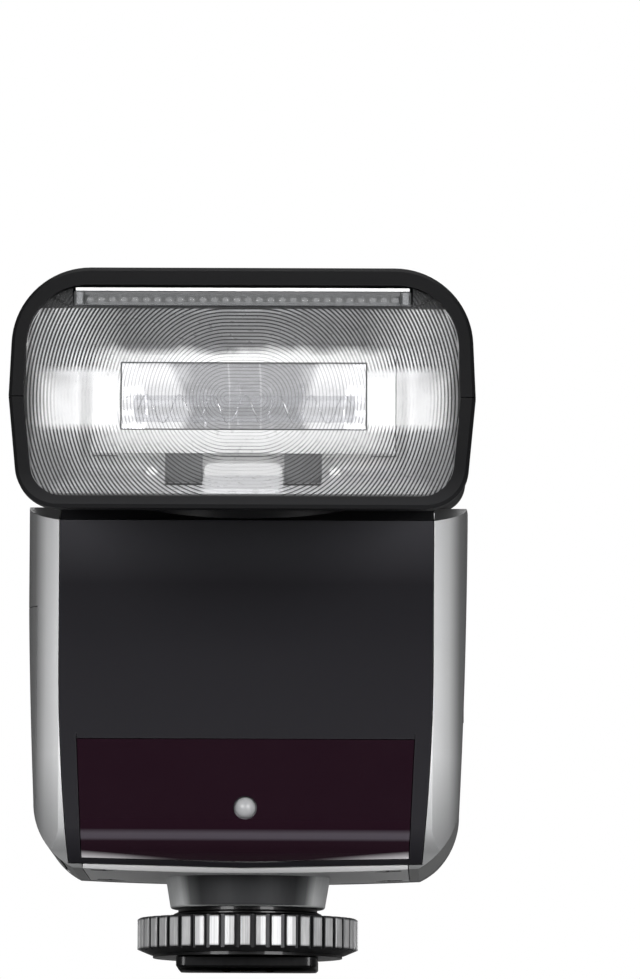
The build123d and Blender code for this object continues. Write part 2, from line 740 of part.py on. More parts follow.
def head_upper_shell():
    return head_shell & box(-40, 40, -60, 30, SEAM_Z + SEAM / 2, 100)


def head_lower_shell():
    return head_shell & box(-40, 40, -60, 30, 40, SEAM_Z - SEAM / 2)


# ------------------------------------------------------------------ lens, light box, panel slot
SLOT_X, SLOT_Z0, SLOT_Z1 = 21.9, SEAM_Z + 11.8, SEAM_Z + 14.5
PANEL_Z0, PANEL_Z1 = SLOT_Z0 + 0.62, SLOT_Z0 + 1.55
INSERT_X = SLOT_X - 0.35   # half width of the parts in the slot


def fresnel_lens():
    lens = prism_xz(opening(-0.06), LENS_Y + 0.9, LENS_Y + 2.35)
    return lens - box(-SLOT_X - 0.05, SLOT_X + 0.05, -60, -40, SLOT_Z0 - 0.05, 100)


def funnel(*stations):
    """Ruled loft through rectangles given as (y, half width, z0, z1)."""
    return loft([
        on_y(poly([(half, z0), (half, z1), (-half, z1), (-half, z0)]), y)
        for y, half, z0, z1 in stations
    ], ruled=True)


def light_box():
    liner = funnel((-35.6, 27.6, 59.35, 83.35), (-47.55, 27.95, 59.35, 83.35))
    liner = liner - funnel((-36.6, 20.6, 63.6, 79.8), (-47.7, 27.3, 59.9, 82.8))
    liner = liner - box(-19.8, 19.8, -40, -30, 65.2, 78.2)
    liner = liner & head_bay
    # two openings in the floor either side of a tab
    for side in (-1, 1):
        liner = liner - box(*sorted((side * 5.2, side * 10.2)), -45.6, -39.4, 55, 63)
    return liner


def panel_cassette():
    case = box(-23.2, 23.2, -47.5, -12.2, SLOT_Z0 + 0.1, SEAM_Z + 14.45)
    case = case - box(-SLOT_X - 0.05, SLOT_X + 0.05, -60, -13.4, SLOT_Z0 + 0.45, SLOT_Z1 + 1)
    return case & head_bay


def wide_panel():
    panel = box(-INSERT_X, INSERT_X, -48.8, -22.4, PANEL_Z0, PANEL_Z1)
    panel = panel + box(-SLOT_X + 0.15, SLOT_X - 0.15, LENS_Y + 0.45, LENS_Y + 1.35,
                        SLOT_Z0 + 0.12, SLOT_Z0 + 1.82)
    for x in (-20.2, 20.2):
        panel = panel - box(x - 0.35, x + 0.35, -51, LENS_Y + 0.75, 80, 84.8)
    return panel


def wide_panel_carrier():
    return box(-INSERT_X, INSERT_X, -22.2, -19.6, PANEL_Z0 + 0.05, PANEL_Z1 - 0.05)


def catchlight_card():
    return box(-INSERT_X, INSERT_X, LENS_Y + 0.5, -15.0, SLOT_Z0 + 1.95, SLOT_Z0 + 2.35)


# ------------------------------------------------------------------ zoom carriage, tube, chassis
REFLECTOR_Y = -40.0                    # front of the reflector
TUBE = (REFLECTOR_Y + 6.2, SEAM_Z)     # y and z of the tube's axis
RODS = [(-22.6, 66.0), (22.6, 66.0)]   # x and z
SCREW = (22.6, 77.0)
ROD_R, SCREW_R = 1.0, 1.2
# half of the reflector's curve: y from its front, half height
REFLECTOR_CURVE = [(-0.5, 5.35), (4.5, 4.2), (8.1, 2.3)]


def reflector():
    body = box(-16.6, 16.6, REFLECTOR_Y, REFLECTOR_Y + 10.0, SEAM_Z - 5.9, SEAM_Z + 5.9)
    low = [(REFLECTOR_Y + y, SEAM_Z - half) for y, half in REFLECTOR_CURVE]
    high = [(REFLECTOR_Y + y, SEAM_Z + half) for y, half in reversed(REFLECTOR_CURVE)]
    profile = make_face(Wire([
        Line(high[-1], low[0]).edge(),
        Spline(low + [(REFLECTOR_Y + 9.2, SEAM_Z)] + high).edge(),
    ]))
    cavity = prism_yz(profile, -15.9, 15.9)
    # the cavity narrows towards the back
    front_y, back_y = REFLECTOR_Y - 0.6, REFLECTOR_Y + 9.6
    ends = Plane((0, 0, 0)) * poly([(-16.0, front_y), (16.0, front_y),
                                    (12.6, back_y), (-12.6, back_y)])
    cavity = cavity & prism_xy(ends, 60, 85)
    return body - cavity - cyl_x(2.15, -20, 20, *TUBE)


def flash_tube():
    return cyl_x(1.75, -15.2, 15.2, *TUBE)


def tube_electrodes():
    return tuple(side_pin(side, *TUBE, (1.3, 15.25, 17.9), (0.45, 17.8, 19.4))
                 for side in (-1, 1))


def zoom_carriage():
    carriage = box(-24.6, 24.6, REFLECTOR_Y + 10.05, REFLECTOR_Y + 11.6, 64.2, 79.2)
    for x, z in RODS + [SCREW]:
        carriage = carriage + cyl_y(2.3, REFLECTOR_Y + 9.6, REFLECTOR_Y + 13.6, x, z)
    for x, z in RODS:
        carriage = carriage - cyl_y(ROD_R + 0.06, -60, 0, x, z)
    return carriage - cyl_y(SCREW_R + 0.16, -60, 0, *SCREW)


def head_chassis():
    """Bulkhead, drum pocket and pivot cheeks."""
    pocket_x = SLOT_W + 1.7
    drum_room = cyl_x(DRUM_R + 0.3, -SLOT_W, SLOT_W, 0, PIVOT_Z)
    pocket = cyl_x(13.1, -pocket_x, pocket_x, 0, PIVOT_Z) - drum_room
    pocket = pocket - drum_slot(40)
    chassis = box(-26.6, 26.6, -16.9, -15.4, 63.4, 83.0)
    chassis = chassis + pocket + box(-pocket_x, pocket_x, -15.6, -12.0, 70, 79)
    chassis = chassis & head_bay
    chassis = chassis - drum_room - drum_slot(40)
    for x, z in RODS:
        chassis = chassis - cyl_y(ROD_R, -60, 0, x, z)
    return chassis - cyl_y(SCREW_R + 0.1, -60, 0, *SCREW) - cyl_x(PIVOT_R, -20, 20, 0, PIVOT_Z)


def zoom_guide_rods():
    return tuple(cyl_y(ROD_R, -35.3, -15.5, x, z) for x, z in RODS)


def zoom_motor():
    motor = cyl_y(4.3, -15.35, -4.6, *SCREW)
    motor = motor - cyl_y(0.66, -16, -10, *SCREW)
    return motor & head_envelope(1.8, LENS_Y + 2.4)


def zoom_lead_screw():
    return cyl_y(SCREW_R, -35.0, -15.6, *SCREW) + cyl_y(0.6, -15.7, -11.0, *SCREW)


def tilt_pivots():
    return tuple(side_pin(side, 0, PIVOT_Z, (PIVOT_R, 10.0, 15.6), (3.8, 14.3, 16.4))
                 for side in (-1, 1))


# ------------------------------------------------------------------ build and write
PIECES = (
    front_cover, ir_window, optic_sensor, focus_lamp_board,
    top_deck, bottom_cover, case_screws,
    foot_collar, foot_stem, foot_plate, contact_pins, lock_washer, lock_ring,
    lcd_window, lcd_module, test_button, select_dial, set_button, power_switch,
    control_board, rear_cover,
    aa_cells, battery_tray, bay_contacts,
    battery_door, left_side_shell, door_hinge_rod, door_contact_strap,
    right_side_shell, socket_cover, usb_socket,
    main_capacitor, main_board, step_up_transformer,
    pan_turret, turret_clip, turret_spring_washer, flash_cable,
    head_upper_shell, head_lower_shell,
    fresnel_lens, light_box, panel_cassette, wide_panel, wide_panel_carrier, catchlight_card,
    reflector, flash_tube, tube_electrodes, zoom_carriage, head_chassis,
    zoom_guide_rods, zoom_motor, zoom_lead_screw, tilt_pivots,
)
for piece in PIECES:
    put(piece.__name__, piece())
for name, place in BUTTONS.items():
    put(name, button(*place))

os.makedirs("parts", exist_ok=True)
for name, shape in nodes.items():
    export_step(shape, "parts/" + name + ".step")
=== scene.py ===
# A camera flash on its foot, dressed over its CAD pieces. X runs across the flash, -Y is the
# front (the lens), +Y the rear (the display and buttons), and Z is up.
# Sizes are in millimetres unless a comment says metres; angles of view and lights use metres.
import math

import bmesh
import bpy
from mathutils import Matrix, Vector

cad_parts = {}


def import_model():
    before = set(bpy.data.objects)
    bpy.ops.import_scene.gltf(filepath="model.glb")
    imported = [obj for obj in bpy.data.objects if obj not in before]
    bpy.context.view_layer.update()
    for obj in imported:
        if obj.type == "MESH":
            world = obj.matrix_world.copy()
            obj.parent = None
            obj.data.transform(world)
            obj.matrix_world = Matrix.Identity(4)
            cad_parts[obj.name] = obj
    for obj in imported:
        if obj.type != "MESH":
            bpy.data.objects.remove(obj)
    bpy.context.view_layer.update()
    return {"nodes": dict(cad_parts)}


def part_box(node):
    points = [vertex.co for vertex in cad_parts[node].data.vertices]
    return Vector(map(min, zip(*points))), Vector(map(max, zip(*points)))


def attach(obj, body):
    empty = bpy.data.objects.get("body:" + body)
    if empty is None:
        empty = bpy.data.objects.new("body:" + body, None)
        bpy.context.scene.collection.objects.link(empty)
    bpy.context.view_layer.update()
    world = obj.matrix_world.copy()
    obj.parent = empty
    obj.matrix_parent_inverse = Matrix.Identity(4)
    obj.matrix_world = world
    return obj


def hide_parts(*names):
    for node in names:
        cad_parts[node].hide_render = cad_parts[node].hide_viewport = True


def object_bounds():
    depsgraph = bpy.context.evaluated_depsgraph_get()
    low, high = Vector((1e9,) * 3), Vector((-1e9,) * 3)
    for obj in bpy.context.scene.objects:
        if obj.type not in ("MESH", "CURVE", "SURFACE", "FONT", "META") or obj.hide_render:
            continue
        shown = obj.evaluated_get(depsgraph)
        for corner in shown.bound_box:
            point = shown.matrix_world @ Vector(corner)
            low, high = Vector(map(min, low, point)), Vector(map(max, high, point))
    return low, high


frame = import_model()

scene = bpy.context.scene
MM = 0.001                      # metres in a millimetre


def box_mm(node):
    """Low and high corners of a CAD piece, each as x, y, z."""
    return [[side / MM for side in corner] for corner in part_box(node)]


(_, LENS_FRONT, LENS_FOOT), (LENS_HALF, LENS_BACK, _) = box_mm("fresnel_lens")
LENS_BELOW = 12.84              # from the centre of the lens rings down to the lens's lower edge
HEAD_Z = LENS_FOOT + LENS_BELOW  # parting line of the head, and centre of the lens rings


# ------------------------------------------------------------------ shader graphs
def rgba(color):
    """Opaque colour from a grey level or an RGB tuple; a socket passes through."""
    if isinstance(color, bpy.types.NodeSocket):
        return color
    return (*color, 1.0) if isinstance(color, tuple) else (color, color, color, 1.0)


def scaled(color, factor, lift=0.0):
    return tuple(min(1.0, part * factor + lift) for part in color)


class Graph:
    """A node tree, emptied and ready to build in."""

    def __init__(self, owner):
        owner.use_nodes = True
        self.tree = owner.node_tree
        self.tree.nodes.clear()

    def feed(self, socket, value):
        """Link a socket, or set a plain value."""
        if isinstance(value, bpy.types.NodeSocket):
            self.tree.links.new(value, socket)
        else:
            socket.default_value = value

    def node(self, kind, inputs=None, **settings):
        node = self.tree.nodes.new("ShaderNode" + kind)
        for key, value in settings.items():
            setattr(node, key, value)
        for key, value in (inputs or {}).items():
            self.feed(node.inputs[key], value)
        return node

    def ramp(self, amount, stops):
        """Colour ramp; stops are (position, colour)."""
        node = self.node("ValToRGB", {0: amount})
        elements = node.color_ramp.elements
        while len(elements) < len(stops):
            elements.new(0.5)
        for element, (position, color) in zip(elements, stops):
            element.position = position
            element.color = rgba(color)
        return node.outputs[0]

    def mix_shader(self, amount, first, second):
        return self.node("MixShader", {0: amount, 1: first, 2: second}).outputs[0]


materials = {}


class Material(Graph):
    """A procedural material, with coordinates in millimetres in the object's frame."""

    SOCKETS = {"rough": "Roughness", "metal": "Metallic", "spec": "Specular IOR Level",
               "coat": "Coat Weight", "coat_rough": "Coat Roughness",
               "glow": "Emission Strength", "glow_color": "Emission Color"}

    def __init__(self, name):
        materials[name] = bpy.data.materials.new(name)
        super().__init__(materials[name])
        self.output = self.node("OutputMaterial")
        self.principled = self.node("BsdfPrincipled")
        self.solid = self.principled.outputs[0]
        self.surface(self.solid)
        position = self.node("TexCoord").outputs["Object"]
        to_mm = self.node("VectorMath", {0: position, "Scale": 1 / MM}, operation="SCALE")
        self.position = to_mm.outputs[0]

    def surface(self, shader):
        self.feed(self.output.inputs[0], shader)

    def math(self, operation, a, b=0.0, clamp=False):
        node = self.node("Math", {0: a, 1: b}, operation=operation, use_clamp=clamp)
        return node.outputs[0]

    def mul(self, a, b, clamp=False):
        return self.math("MULTIPLY", a, b, clamp)

    def add(self, a, b, clamp=False):
        return self.math("ADD", a, b, clamp)

    def sub(self, a, b):
        return self.math("SUBTRACT", a, b)

    def larger(self, a, b):
        return self.math("MAXIMUM", a, b)

    def size(self, a):
        return self.math("ABSOLUTE", a)

    def xyz(self):
        return self.node("SeparateXYZ", {0: self.position}).outputs

    def about_axis(self):
        """Distance from the middle plane, height above HEAD_Z, and distance from HEAD_Z."""
        x, _, z = self.xyz()
        rise = self.sub(z, HEAD_Z)
        return self.size(x), rise, self.size(rise)

    def radius(self):
        """Distance from the Z axis."""
        x, y, z = self.xyz()
        return self.math("SQRT", self.add(self.mul(x, x), self.mul(y, y))), z

    def noise(self, scale, detail=3.0, rough=0.5, stretch=None):
        position = self.position
        if stretch:
            node = self.node("VectorMath", {0: position, 1: stretch}, operation="MULTIPLY")
            position = node.outputs[0]
        return self.node("TexNoise", {"Vector": position, "Scale": scale, "Detail": detail,
                                      "Roughness": rough}).outputs["Fac"]

    def mix(self, amount, base, to, blend="MIX"):
        node = self.node("Mix", {0: amount, 6: rgba(base), 7: rgba(to)},
                         data_type="RGBA", blend_type=blend)
        return node.outputs[2]

    def map(self, value, over, to=(0.0, 1.0)):
        return self.node("MapRange", dict(enumerate((value, *over, *to)))).outputs[0]

    def spread(self, noise, to):
        """The range a noise mostly covers, mapped onto another."""
        return self.map(noise, over=(0.3, 0.7), to=to)

    def jitter(self, noise, amount, about=0.0):
        return self.spread(noise, to=(about - amount, about + amount))

    def bump(self, height, depth, strength):
        node = self.node("Bump", {"Distance": depth * MM, "Strength": strength, "Height": height})
        self.feed(self.principled.inputs["Normal"], node.outputs[0])

    def edge(self, radius=0.25):
        """1 on convex and concave edges, 0 on flats."""
        rounded = self.node("Bevel", {"Radius": radius * MM}, samples=4).outputs[0]
        normal = self.node("NewGeometry").outputs["Normal"]
        dot = self.node("VectorMath", {0: rounded, 1: normal}, operation="DOT_PRODUCT")
        return self.map(self.sub(1.0, dot.outputs["Value"]), over=(0.02, 0.25))

    def facing(self):
        """0 where the surface looks straight at the viewer, 1 at its silhouette."""
        return self.node("LayerWeight", {"Blend": 0.5}).outputs["Facing"]

    def color(self, color):
        self.base = color
        self.feed(self.principled.inputs["Base Color"], rgba(color))

    def set(self, **values):
        for key, value in values.items():
            self.feed(self.principled.inputs[self.SOCKETS[key]], value)

    def transparent(self, tint=1.0):
        return self.node("BsdfTransparent", {0: rgba(tint)}).outputs[0]


# ------------------------------------------------------------------ families of materials
def moulded(name, color, rough=0.45, grain=5.0, depth=0.012, vary=0.25, coat=0.0, wear=0.5,
            wear_color=None, spec=0.5):
    """Moulded or painted surface: fine grain, cloudy colour and gloss, lighter rubbed edges."""
    m = Material(name)
    cloud = m.noise(scale=0.11, detail=4.0, rough=0.6)
    fine = m.noise(scale=grain, detail=2.0, rough=0.6)
    body = m.mix(cloud, scaled(color, 1 - vary), to=scaled(color, 1 + vary))
    if wear > 0:
        patches = m.noise(scale=1.3, detail=3.0, rough=0.6)
        worn = m.mul(m.edge(), m.map(patches, over=(0.42, 0.66), to=(0.25, 1.0)))
        body = m.mix(m.mul(worn, wear), body, to=wear_color or scaled(color, 2.4, lift=0.015))
    m.color(body)
    m.set(rough=m.add(m.jitter(cloud, amount=0.05, about=rough), m.jitter(fine, amount=0.03)),
          coat=coat, spec=spec, coat_rough=0.12)
    m.bump(fine, depth=depth, strength=0.6)
    return m


def clear(name, tint, body, rough=0.06, cap=0.45, gloss=0.5):
    """Clear moulding: mostly see-through. body is its least opacity, cap its greatest."""
    m = Material(name)
    m.color(m.mix(m.noise(scale=0.8), (0.55, 0.56, 0.57), to=(0.75, 0.76, 0.77)))
    m.set(rough=m.spread(m.noise(scale=2.0), to=(rough, rough + 0.06)),
          coat=gloss * 0.5, coat_rough=0.05, spec=gloss)
    m.bump(m.noise(scale=1.2, detail=2.0), depth=0.006, strength=0.3)
    fresnel = m.node("Fresnel", {"IOR": 1.45}).outputs[0]
    opacity = m.math("MINIMUM", m.add(m.mul(fresnel, 0.8), body, clamp=True), cap)
    m.surface(m.mix_shader(opacity, m.transparent(tint), m.solid))


def metal(name, color, rough, streak=(0.15, 4.0, 4.0), vary=0.18, edge=0.4):
    """Bare metal; streak stretches the grain along each axis."""
    m = Material(name)
    grain = m.noise(scale=3.0, detail=4.0, rough=0.65, stretch=streak)
    cloud = m.noise(scale=0.25)
    body = m.mix(grain, scaled(color, 1 - vary), to=scaled(color, 1 + vary))
    rubbed = m.mul(m.edge(radius=0.15), edge)
    m.color(m.mix(rubbed, body, to=scaled(color, 1.5, lift=0.05)))
    m.set(rough=m.add(m.jitter(grain, amount=0.06, about=rough), m.jitter(cloud, amount=0.04)),
          metal=1.0)
    m.bump(grain, depth=0.004, strength=0.5)


def anodised(name, color, rough, wear, wear_color):
    m = Material(name)
    grain = m.noise(scale=1.6, detail=4.0, rough=0.6, stretch=(1, 1, 0.15))
    cloud = m.noise(scale=0.3)
    body = m.mix(grain, scaled(color, 0.7), to=scaled(color, 1.4))
    patches = m.map(m.noise(scale=0.9), over=(0.4, 0.65), to=(0.15, 1.0))
    worn = m.mul(m.edge(radius=0.14), patches)
    m.color(m.mix(m.mul(worn, wear), body, to=wear_color))
    m.set(rough=m.add(m.jitter(grain, amount=0.05, about=rough), m.jitter(cloud, amount=0.03)),
          metal=0.75, coat=0.2)
    m.bump(grain, depth=0.004, strength=0.4)


moulded("black_moulded", (0.0085, 0.0085, 0.0100), rough=0.44, grain=4.5, depth=0.010, vary=0.12)
moulded("deck_black", (0.008, 0.008, 0.0095), rough=0.5, grain=4.0, vary=0.1)
moulded("underside_grey", (0.74, 0.74, 0.745), grain=4.0, depth=0.008, vary=0.08, wear=0.2,
        spec=0.3)
moulded("white_plastic", (0.74, 0.74, 0.735), rough=0.42, grain=3.0, depth=0.006, vary=0.05,
        wear=0.25, wear_color=(0.85, 0.85, 0.85))
moulded("button_rubber", (0.021, 0.021, 0.023), rough=0.62, grain=7.0, depth=0.010, wear=0.4)
moulded("dial_plastic", (0.018, 0.018, 0.020), rough=0.40, grain=6.0, depth=0.006, wear=0.7)
moulded("shrink_sleeve", (0.013, 0.014, 0.02), rough=0.3, grain=2.0, depth=0.02, coat=0.3,
        wear=0.3)
moulded("white_marking", (0.62, 0.62, 0.62), rough=0.5, depth=0.004, vary=0.08, wear=0)
moulded("display_segment", (0.012, 0.014, 0.014), rough=0.4, grain=4.0, depth=0.002, vary=0.2,
        wear=0)
moulded("pocket_dark", (0.085, 0.085, 0.088), rough=0.35, grain=3.0, depth=0.01, vary=0.4,
        wear=0.2)
moulded("tab_white", (0.52, 0.52, 0.52), rough=0.40, grain=3.0, depth=0.004, vary=0.04, wear=0.1)

clear("lens_acrylic", (0.992, 0.993, 0.994), body=0.004, rough=0.10, cap=0.06, gloss=0.12)
clear("clear_acrylic", (0.80, 0.81, 0.82), body=0.12)
clear("sensor_dome", (0.8, 0.78, 0.8), body=0.55)
clear("quartz_tube", (0.955, 0.955, 0.965), body=0.05, rough=0.04, cap=0.30, gloss=0.35)
clear("lenticule_acrylic", (0.86, 0.86, 0.87), body=0.16)

metal("brushed_steel", (0.56, 0.56, 0.57), rough=0.28)
metal("black_zinc_screw", (0.02, 0.02, 0.021), rough=0.38, streak=(1, 1, 1), vary=0.2, edge=0.3)
metal("gold_flash", (0.83, 0.58, 0.22), rough=0.22, streak=(1, 1, 0.2))
metal("zinc_motor_can", (0.5, 0.5, 0.52), rough=0.35)

anodised("foot_anodised", (0.006, 0.006, 0.0065), rough=0.42, wear=0.22,
         wear_color=(0.06, 0.06, 0.062))
anodised("stem_anodised", (0.004, 0.004, 0.0042), rough=0.34, wear=0.25,
         wear_color=(0.12, 0.12, 0.12))


# ------------------------------------------------------------------ single materials
def bezel():
    """Near-black shell, with painted light: lighter below the lens."""
    m = moulded("bezel_black", (0.0048, 0.0048, 0.0052), rough=0.50, grain=5.5, depth=0.008,
                vary=0.10, wear=0.25, wear_color=(0.02, 0.02, 0.021), spec=0.08)
    # painted light: the shell is lighter below the lens
    low = m.map(m.xyz()[2], over=(HEAD_Z - 14.5, HEAD_Z - 9.5), to=(0.8, 0.0))
    m.color(m.mix(low, m.base, to=(0.016, 0.016, 0.017)))


def panel():
    """Satin front cover with a very fine grain, and painted light: lighter towards its foot, and
    lighter at its top against the shadow the head casts there.
    """
    m = Material("panel_satin_black")
    z = m.xyz()[2]
    fine = m.noise(scale=6.0, detail=2.0, rough=0.6)
    # painted light: lighter towards the foot of the cover
    foot = m.map(z, over=(20.0, 44.0), to=(1.0, 0.0))
    color = m.mix(foot, (0.0066, 0.0062, 0.0082), to=(0.0118, 0.0112, 0.0136))
    # painted light: lighter at the top, against the shadow the head casts on it
    color = m.mix(m.map(z, over=(50.0, 58.0)), color, to=(0.034, 0.0335, 0.038))
    cloud = m.spread(m.noise(scale=0.11, detail=4.0), to=(0.0, 0.08))
    color = m.mix(cloud, color, to=(0.007, 0.007, 0.009))
    rubbed = m.mul(m.edge(radius=0.2), 0.35)
    m.color(m.mix(rubbed, color, to=(0.05, 0.05, 0.053)))
    m.set(rough=m.spread(fine, to=(0.40, 0.48)), spec=0.10)
    m.bump(fine, depth=0.002, strength=0.5)


def silver():
    """Silver-grey lacquer with fine flake, and painted shade where it turns away from the viewer,
    at the foot of the front, on the outer strips and on faces that look down.
    """
    m = Material("silver_grey_lacquer")
    cloud = m.noise(scale=0.09, detail=4.0, rough=0.6)
    flake = m.noise(scale=9.0, detail=1.0)
    color = m.mix(cloud, (0.67, 0.675, 0.682), to=(0.75, 0.755, 0.762))
    glints = m.map(flake, over=(0.55, 0.75), to=(0.0, 0.45))
    color = m.mix(glints, color, to=(0.82, 0.825, 0.835))
    patches = m.map(m.noise(scale=1.1), over=(0.45, 0.7), to=(0.0, 0.25))
    color = m.mix(m.mul(m.edge(radius=0.3), patches), color, to=(0.8, 0.8, 0.81))
    # painted shade: darker as the surface turns away from the viewer
    painted_turn_shade = m.ramp(m.facing(), [
        (0.0, 0.88), (0.10, 0.90), (0.25, 0.90), (0.36, 0.80), (0.50, 0.44), (0.60, 0.24),
        (0.85, 0.15)])
    color = m.mix(1.0, color, to=painted_turn_shade, blend="MULTIPLY")
    normal = m.node("SeparateXYZ", {0: m.node("TexCoord").outputs["Normal"]}).outputs
    x, _, z = m.xyz()
    # painted shade: darker at the foot of the front, and on the outer strips that look straight
    # forward
    front = m.map(normal["Y"], over=(-0.35, 0.0), to=(1.0, 0.0))
    foot = m.mul(m.map(z, over=(16.0, 27.5), to=(0.62, 0.0)),
                 m.map(z, over=(13.2, 14.8), to=(0.3, 1.0)))
    strips = m.mul(m.map(m.size(x), over=(26.9, 27.3), to=(0.0, 0.86)),
                   m.map(normal["Y"], over=(-0.95, -0.8), to=(1.0, 0.0)))
    color = m.mix(m.larger(m.mul(foot, front), strips), color, to=(0.05, 0.051, 0.053))
    # painted shade on faces that look down
    under = m.map(normal["Z"], over=(-0.75, -0.2), to=(0.35, 0.0))
    m.color(m.mix(under, color, to=(0.16, 0.161, 0.163)))
    m.set(rough=m.spread(flake, to=(0.36, 0.48)), metal=0.45, coat=0.10, coat_rough=0.25,
          spec=0.3)
    m.bump(flake, depth=0.004, strength=0.5)


def window():
    """Dark red window, glossiest along the bend near its foot and along its lower edge, with
    painted reflections: a lighter band along the bend and pale crescents near its lower edge.
    """
    m = Material("infrared_window")
    x, _, z = m.xyz()
    bend = m.mul(m.map(z, over=(16.1, 16.5)), m.map(z, over=(17.1, 17.7), to=(1.0, 0.0)))
    across = m.size(x)
    # painted reflections: pale crescents that climb with distance from the middle
    reach = m.sub(z, m.map(across, over=(7.0, 21.5), to=(13.6, 14.75)))
    painted_crescent_reflection = m.mul(m.map(reach, over=(-0.9, 0.15), to=(1.0, 0.0)),
                     m.map(across, over=(7.0, 16.0)))
    low = m.map(z, over=(14.2, 15.2), to=(0.5, 0.0))
    high = m.map(z, over=(18.0, 19.4), to=(0.0, 0.55))
    least_gloss = 0.16
    gloss = m.larger(m.larger(bend, low), m.larger(high, least_gloss))
    color = m.mix(m.noise(scale=0.15), (0.0098, 0.0035, 0.0068), to=(0.0112, 0.0043, 0.0078))
    # painted reflection: a lighter band along the bend
    color = m.mix(m.mul(bend, 0.8), color, to=(0.052, 0.044, 0.056))
    m.color(m.mix(m.mul(painted_crescent_reflection, 0.95), color, to=(0.56, 0.54, 0.56)))
    smears = m.noise(scale=0.6, detail=4.0, rough=0.7)
    m.set(rough=m.spread(smears, to=(0.07, 0.13)), coat=m.mul(gloss, 0.5), coat_rough=0.05,
          spec=m.mul(gloss, 0.5))
    m.bump(m.noise(scale=0.35, detail=2.0), depth=0.008, strength=0.2)


def groove():
    """Steep wall of a lens ring. It bends the light away, so it reads as a dark line, and it
    fades in front of the white cheeks, the reflector's mouth and the white tab."""
    m = Material("lens_groove_wall")
    across, rise, off_axis = m.about_axis()
    cheek = m.mul(m.map(off_axis, over=(3.3, 4.3), to=(1.0, 0.0)),
                  m.mul(m.map(across, over=(14.8, 16.2)),
                        m.map(across, over=(24.0, 27.0), to=(1.0, 0.0))))
    mouth = m.mul(m.map(off_axis, over=(5.4, 7.6), to=(0.72, 0.0)),
                  m.map(across, over=(15.6, 19.6), to=(1.0, 0.0)))
    tab = m.mul(m.map(across, over=(4.7, 5.5), to=(0.93, 0.0)),
                m.map(rise, over=(-8.3, -7.6), to=(1.0, 0.0)))
    fade = m.larger(m.larger(cheek, mouth), tab)
    fade = m.mul(fade, m.spread(m.noise(scale=0.5, detail=2.0), to=(0.92, 1.0)), clamp=True)
    tint = m.mix(fade, (0.03, 0.03, 0.033), to=(0.97, 0.97, 0.975))
    m.color(m.mix(m.noise(scale=2.0), 0.10, to=0.16))
    m.set(rough=m.spread(m.noise(scale=3.0), to=(0.45, 0.55)), spec=0.0)
    opacity = m.map(fade, over=(0.0, 1.0), to=(0.22, 0.02))
    m.surface(m.mix_shader(opacity, m.transparent(tint), m.solid))


def light_box():
    """White moulding with metallised upper and lower faces and plain white cheeks; the
    reflections and shade across it are painted in bands, and a weak painted glow lights it.
    """
    m = Material("light_box_metallised")
    across, rise, off_axis = m.about_axis()
    wobble = m.jitter(m.noise(scale=0.22), amount=0.5)
    # painted reflection and shade: grey bands up the metallised faces, and ends that lighten
    # upwards
    bands = m.ramp(m.map(m.add(rise, wobble), over=(-13.0, 13.0)), [
        (0.0, (0.58, 0.58, 0.59)), (0.16, (0.46, 0.46, 0.47)), (0.22, 0.48), (0.27, 0.54),
        (0.40, 0.62), (0.71, 0.78), (0.765, 0.72), (0.805, (0.17, 0.17, 0.175)),
        (0.93, (0.24, 0.24, 0.245)), (1.0, (0.42, 0.42, 0.43))])
    ends = m.mix(m.map(rise, over=(-6.0, 6.0)), (0.47, 0.47, 0.48), to=(0.96, 0.96, 0.965))
    color = m.mix(m.map(across, over=(15.5, 22.5), to=(0.0, 0.85)), bands, to=ends)
    cheek = m.mul(m.map(off_axis, over=(3.2, 3.8), to=(1.0, 0.0)),
                  m.map(across, over=(16.0, 16.6)))
    color = m.mix(cheek, color, to=0.78)
    dull = m.map(m.noise(scale=0.6, detail=4.0), over=(0.35, 0.7), to=(0.0, 0.10))
    color = m.mix(dull, color, to=(0.4, 0.4, 0.41))
    m.color(color)
    # painted glow: a weak emission stands in for the light gathered in the box
    m.set(glow_color=color, glow=0.24, rough=m.spread(m.noise(scale=1.0), to=(0.25, 0.4)),
          metal=m.map(cheek, over=(0.0, 1.0), to=(0.2, 0.0)))
    m.bump(m.noise(scale=2.5), depth=0.008, strength=0.5)


def mirror():
    """Polished reflector with painted reflections: an emission paints the white cheeks thrown
    back at its ends and a bright line, and stays greyer in the middle."""
    m = Material("bright_aluminium")
    across, _, off_axis = m.about_axis()
    streak = m.noise(scale=3.0, detail=4.0, rough=0.6, stretch=(0.25, 1.0, 2.0))
    end = m.map(m.sub(across, m.mul(off_axis, 0.5)), over=(6.4, 7.6))
    line_x = 2.05
    # painted highlight: a bright line
    line = m.map(m.size(m.sub(across, line_x)), over=(0.05, 0.14), to=(0.35, 0.0))
    m.color(m.mix(m.spread(streak, to=(0.0, 1.0)), (0.42, 0.42, 0.43), to=(0.55, 0.55, 0.56)))
    middle = m.mix(m.map(off_axis, over=(0.0, 5.5)), (0.32, 0.32, 0.325), to=(0.24, 0.24, 0.245))
    # painted reflection: the emission paints the white cheeks at the ends and the bright line,
    # greyer in the middle
    glow = m.mix(m.larger(end, line), middle, to=(0.95, 0.95, 0.955))
    glow = m.mix(m.map(streak, over=(0.35, 0.65), to=(0.0, 0.14)), glow, to=0.75)
    m.set(glow_color=glow, glow=0.62, rough=m.spread(streak, to=(0.10, 0.2)), metal=0.9)
    m.bump(streak, depth=0.004, strength=0.4)


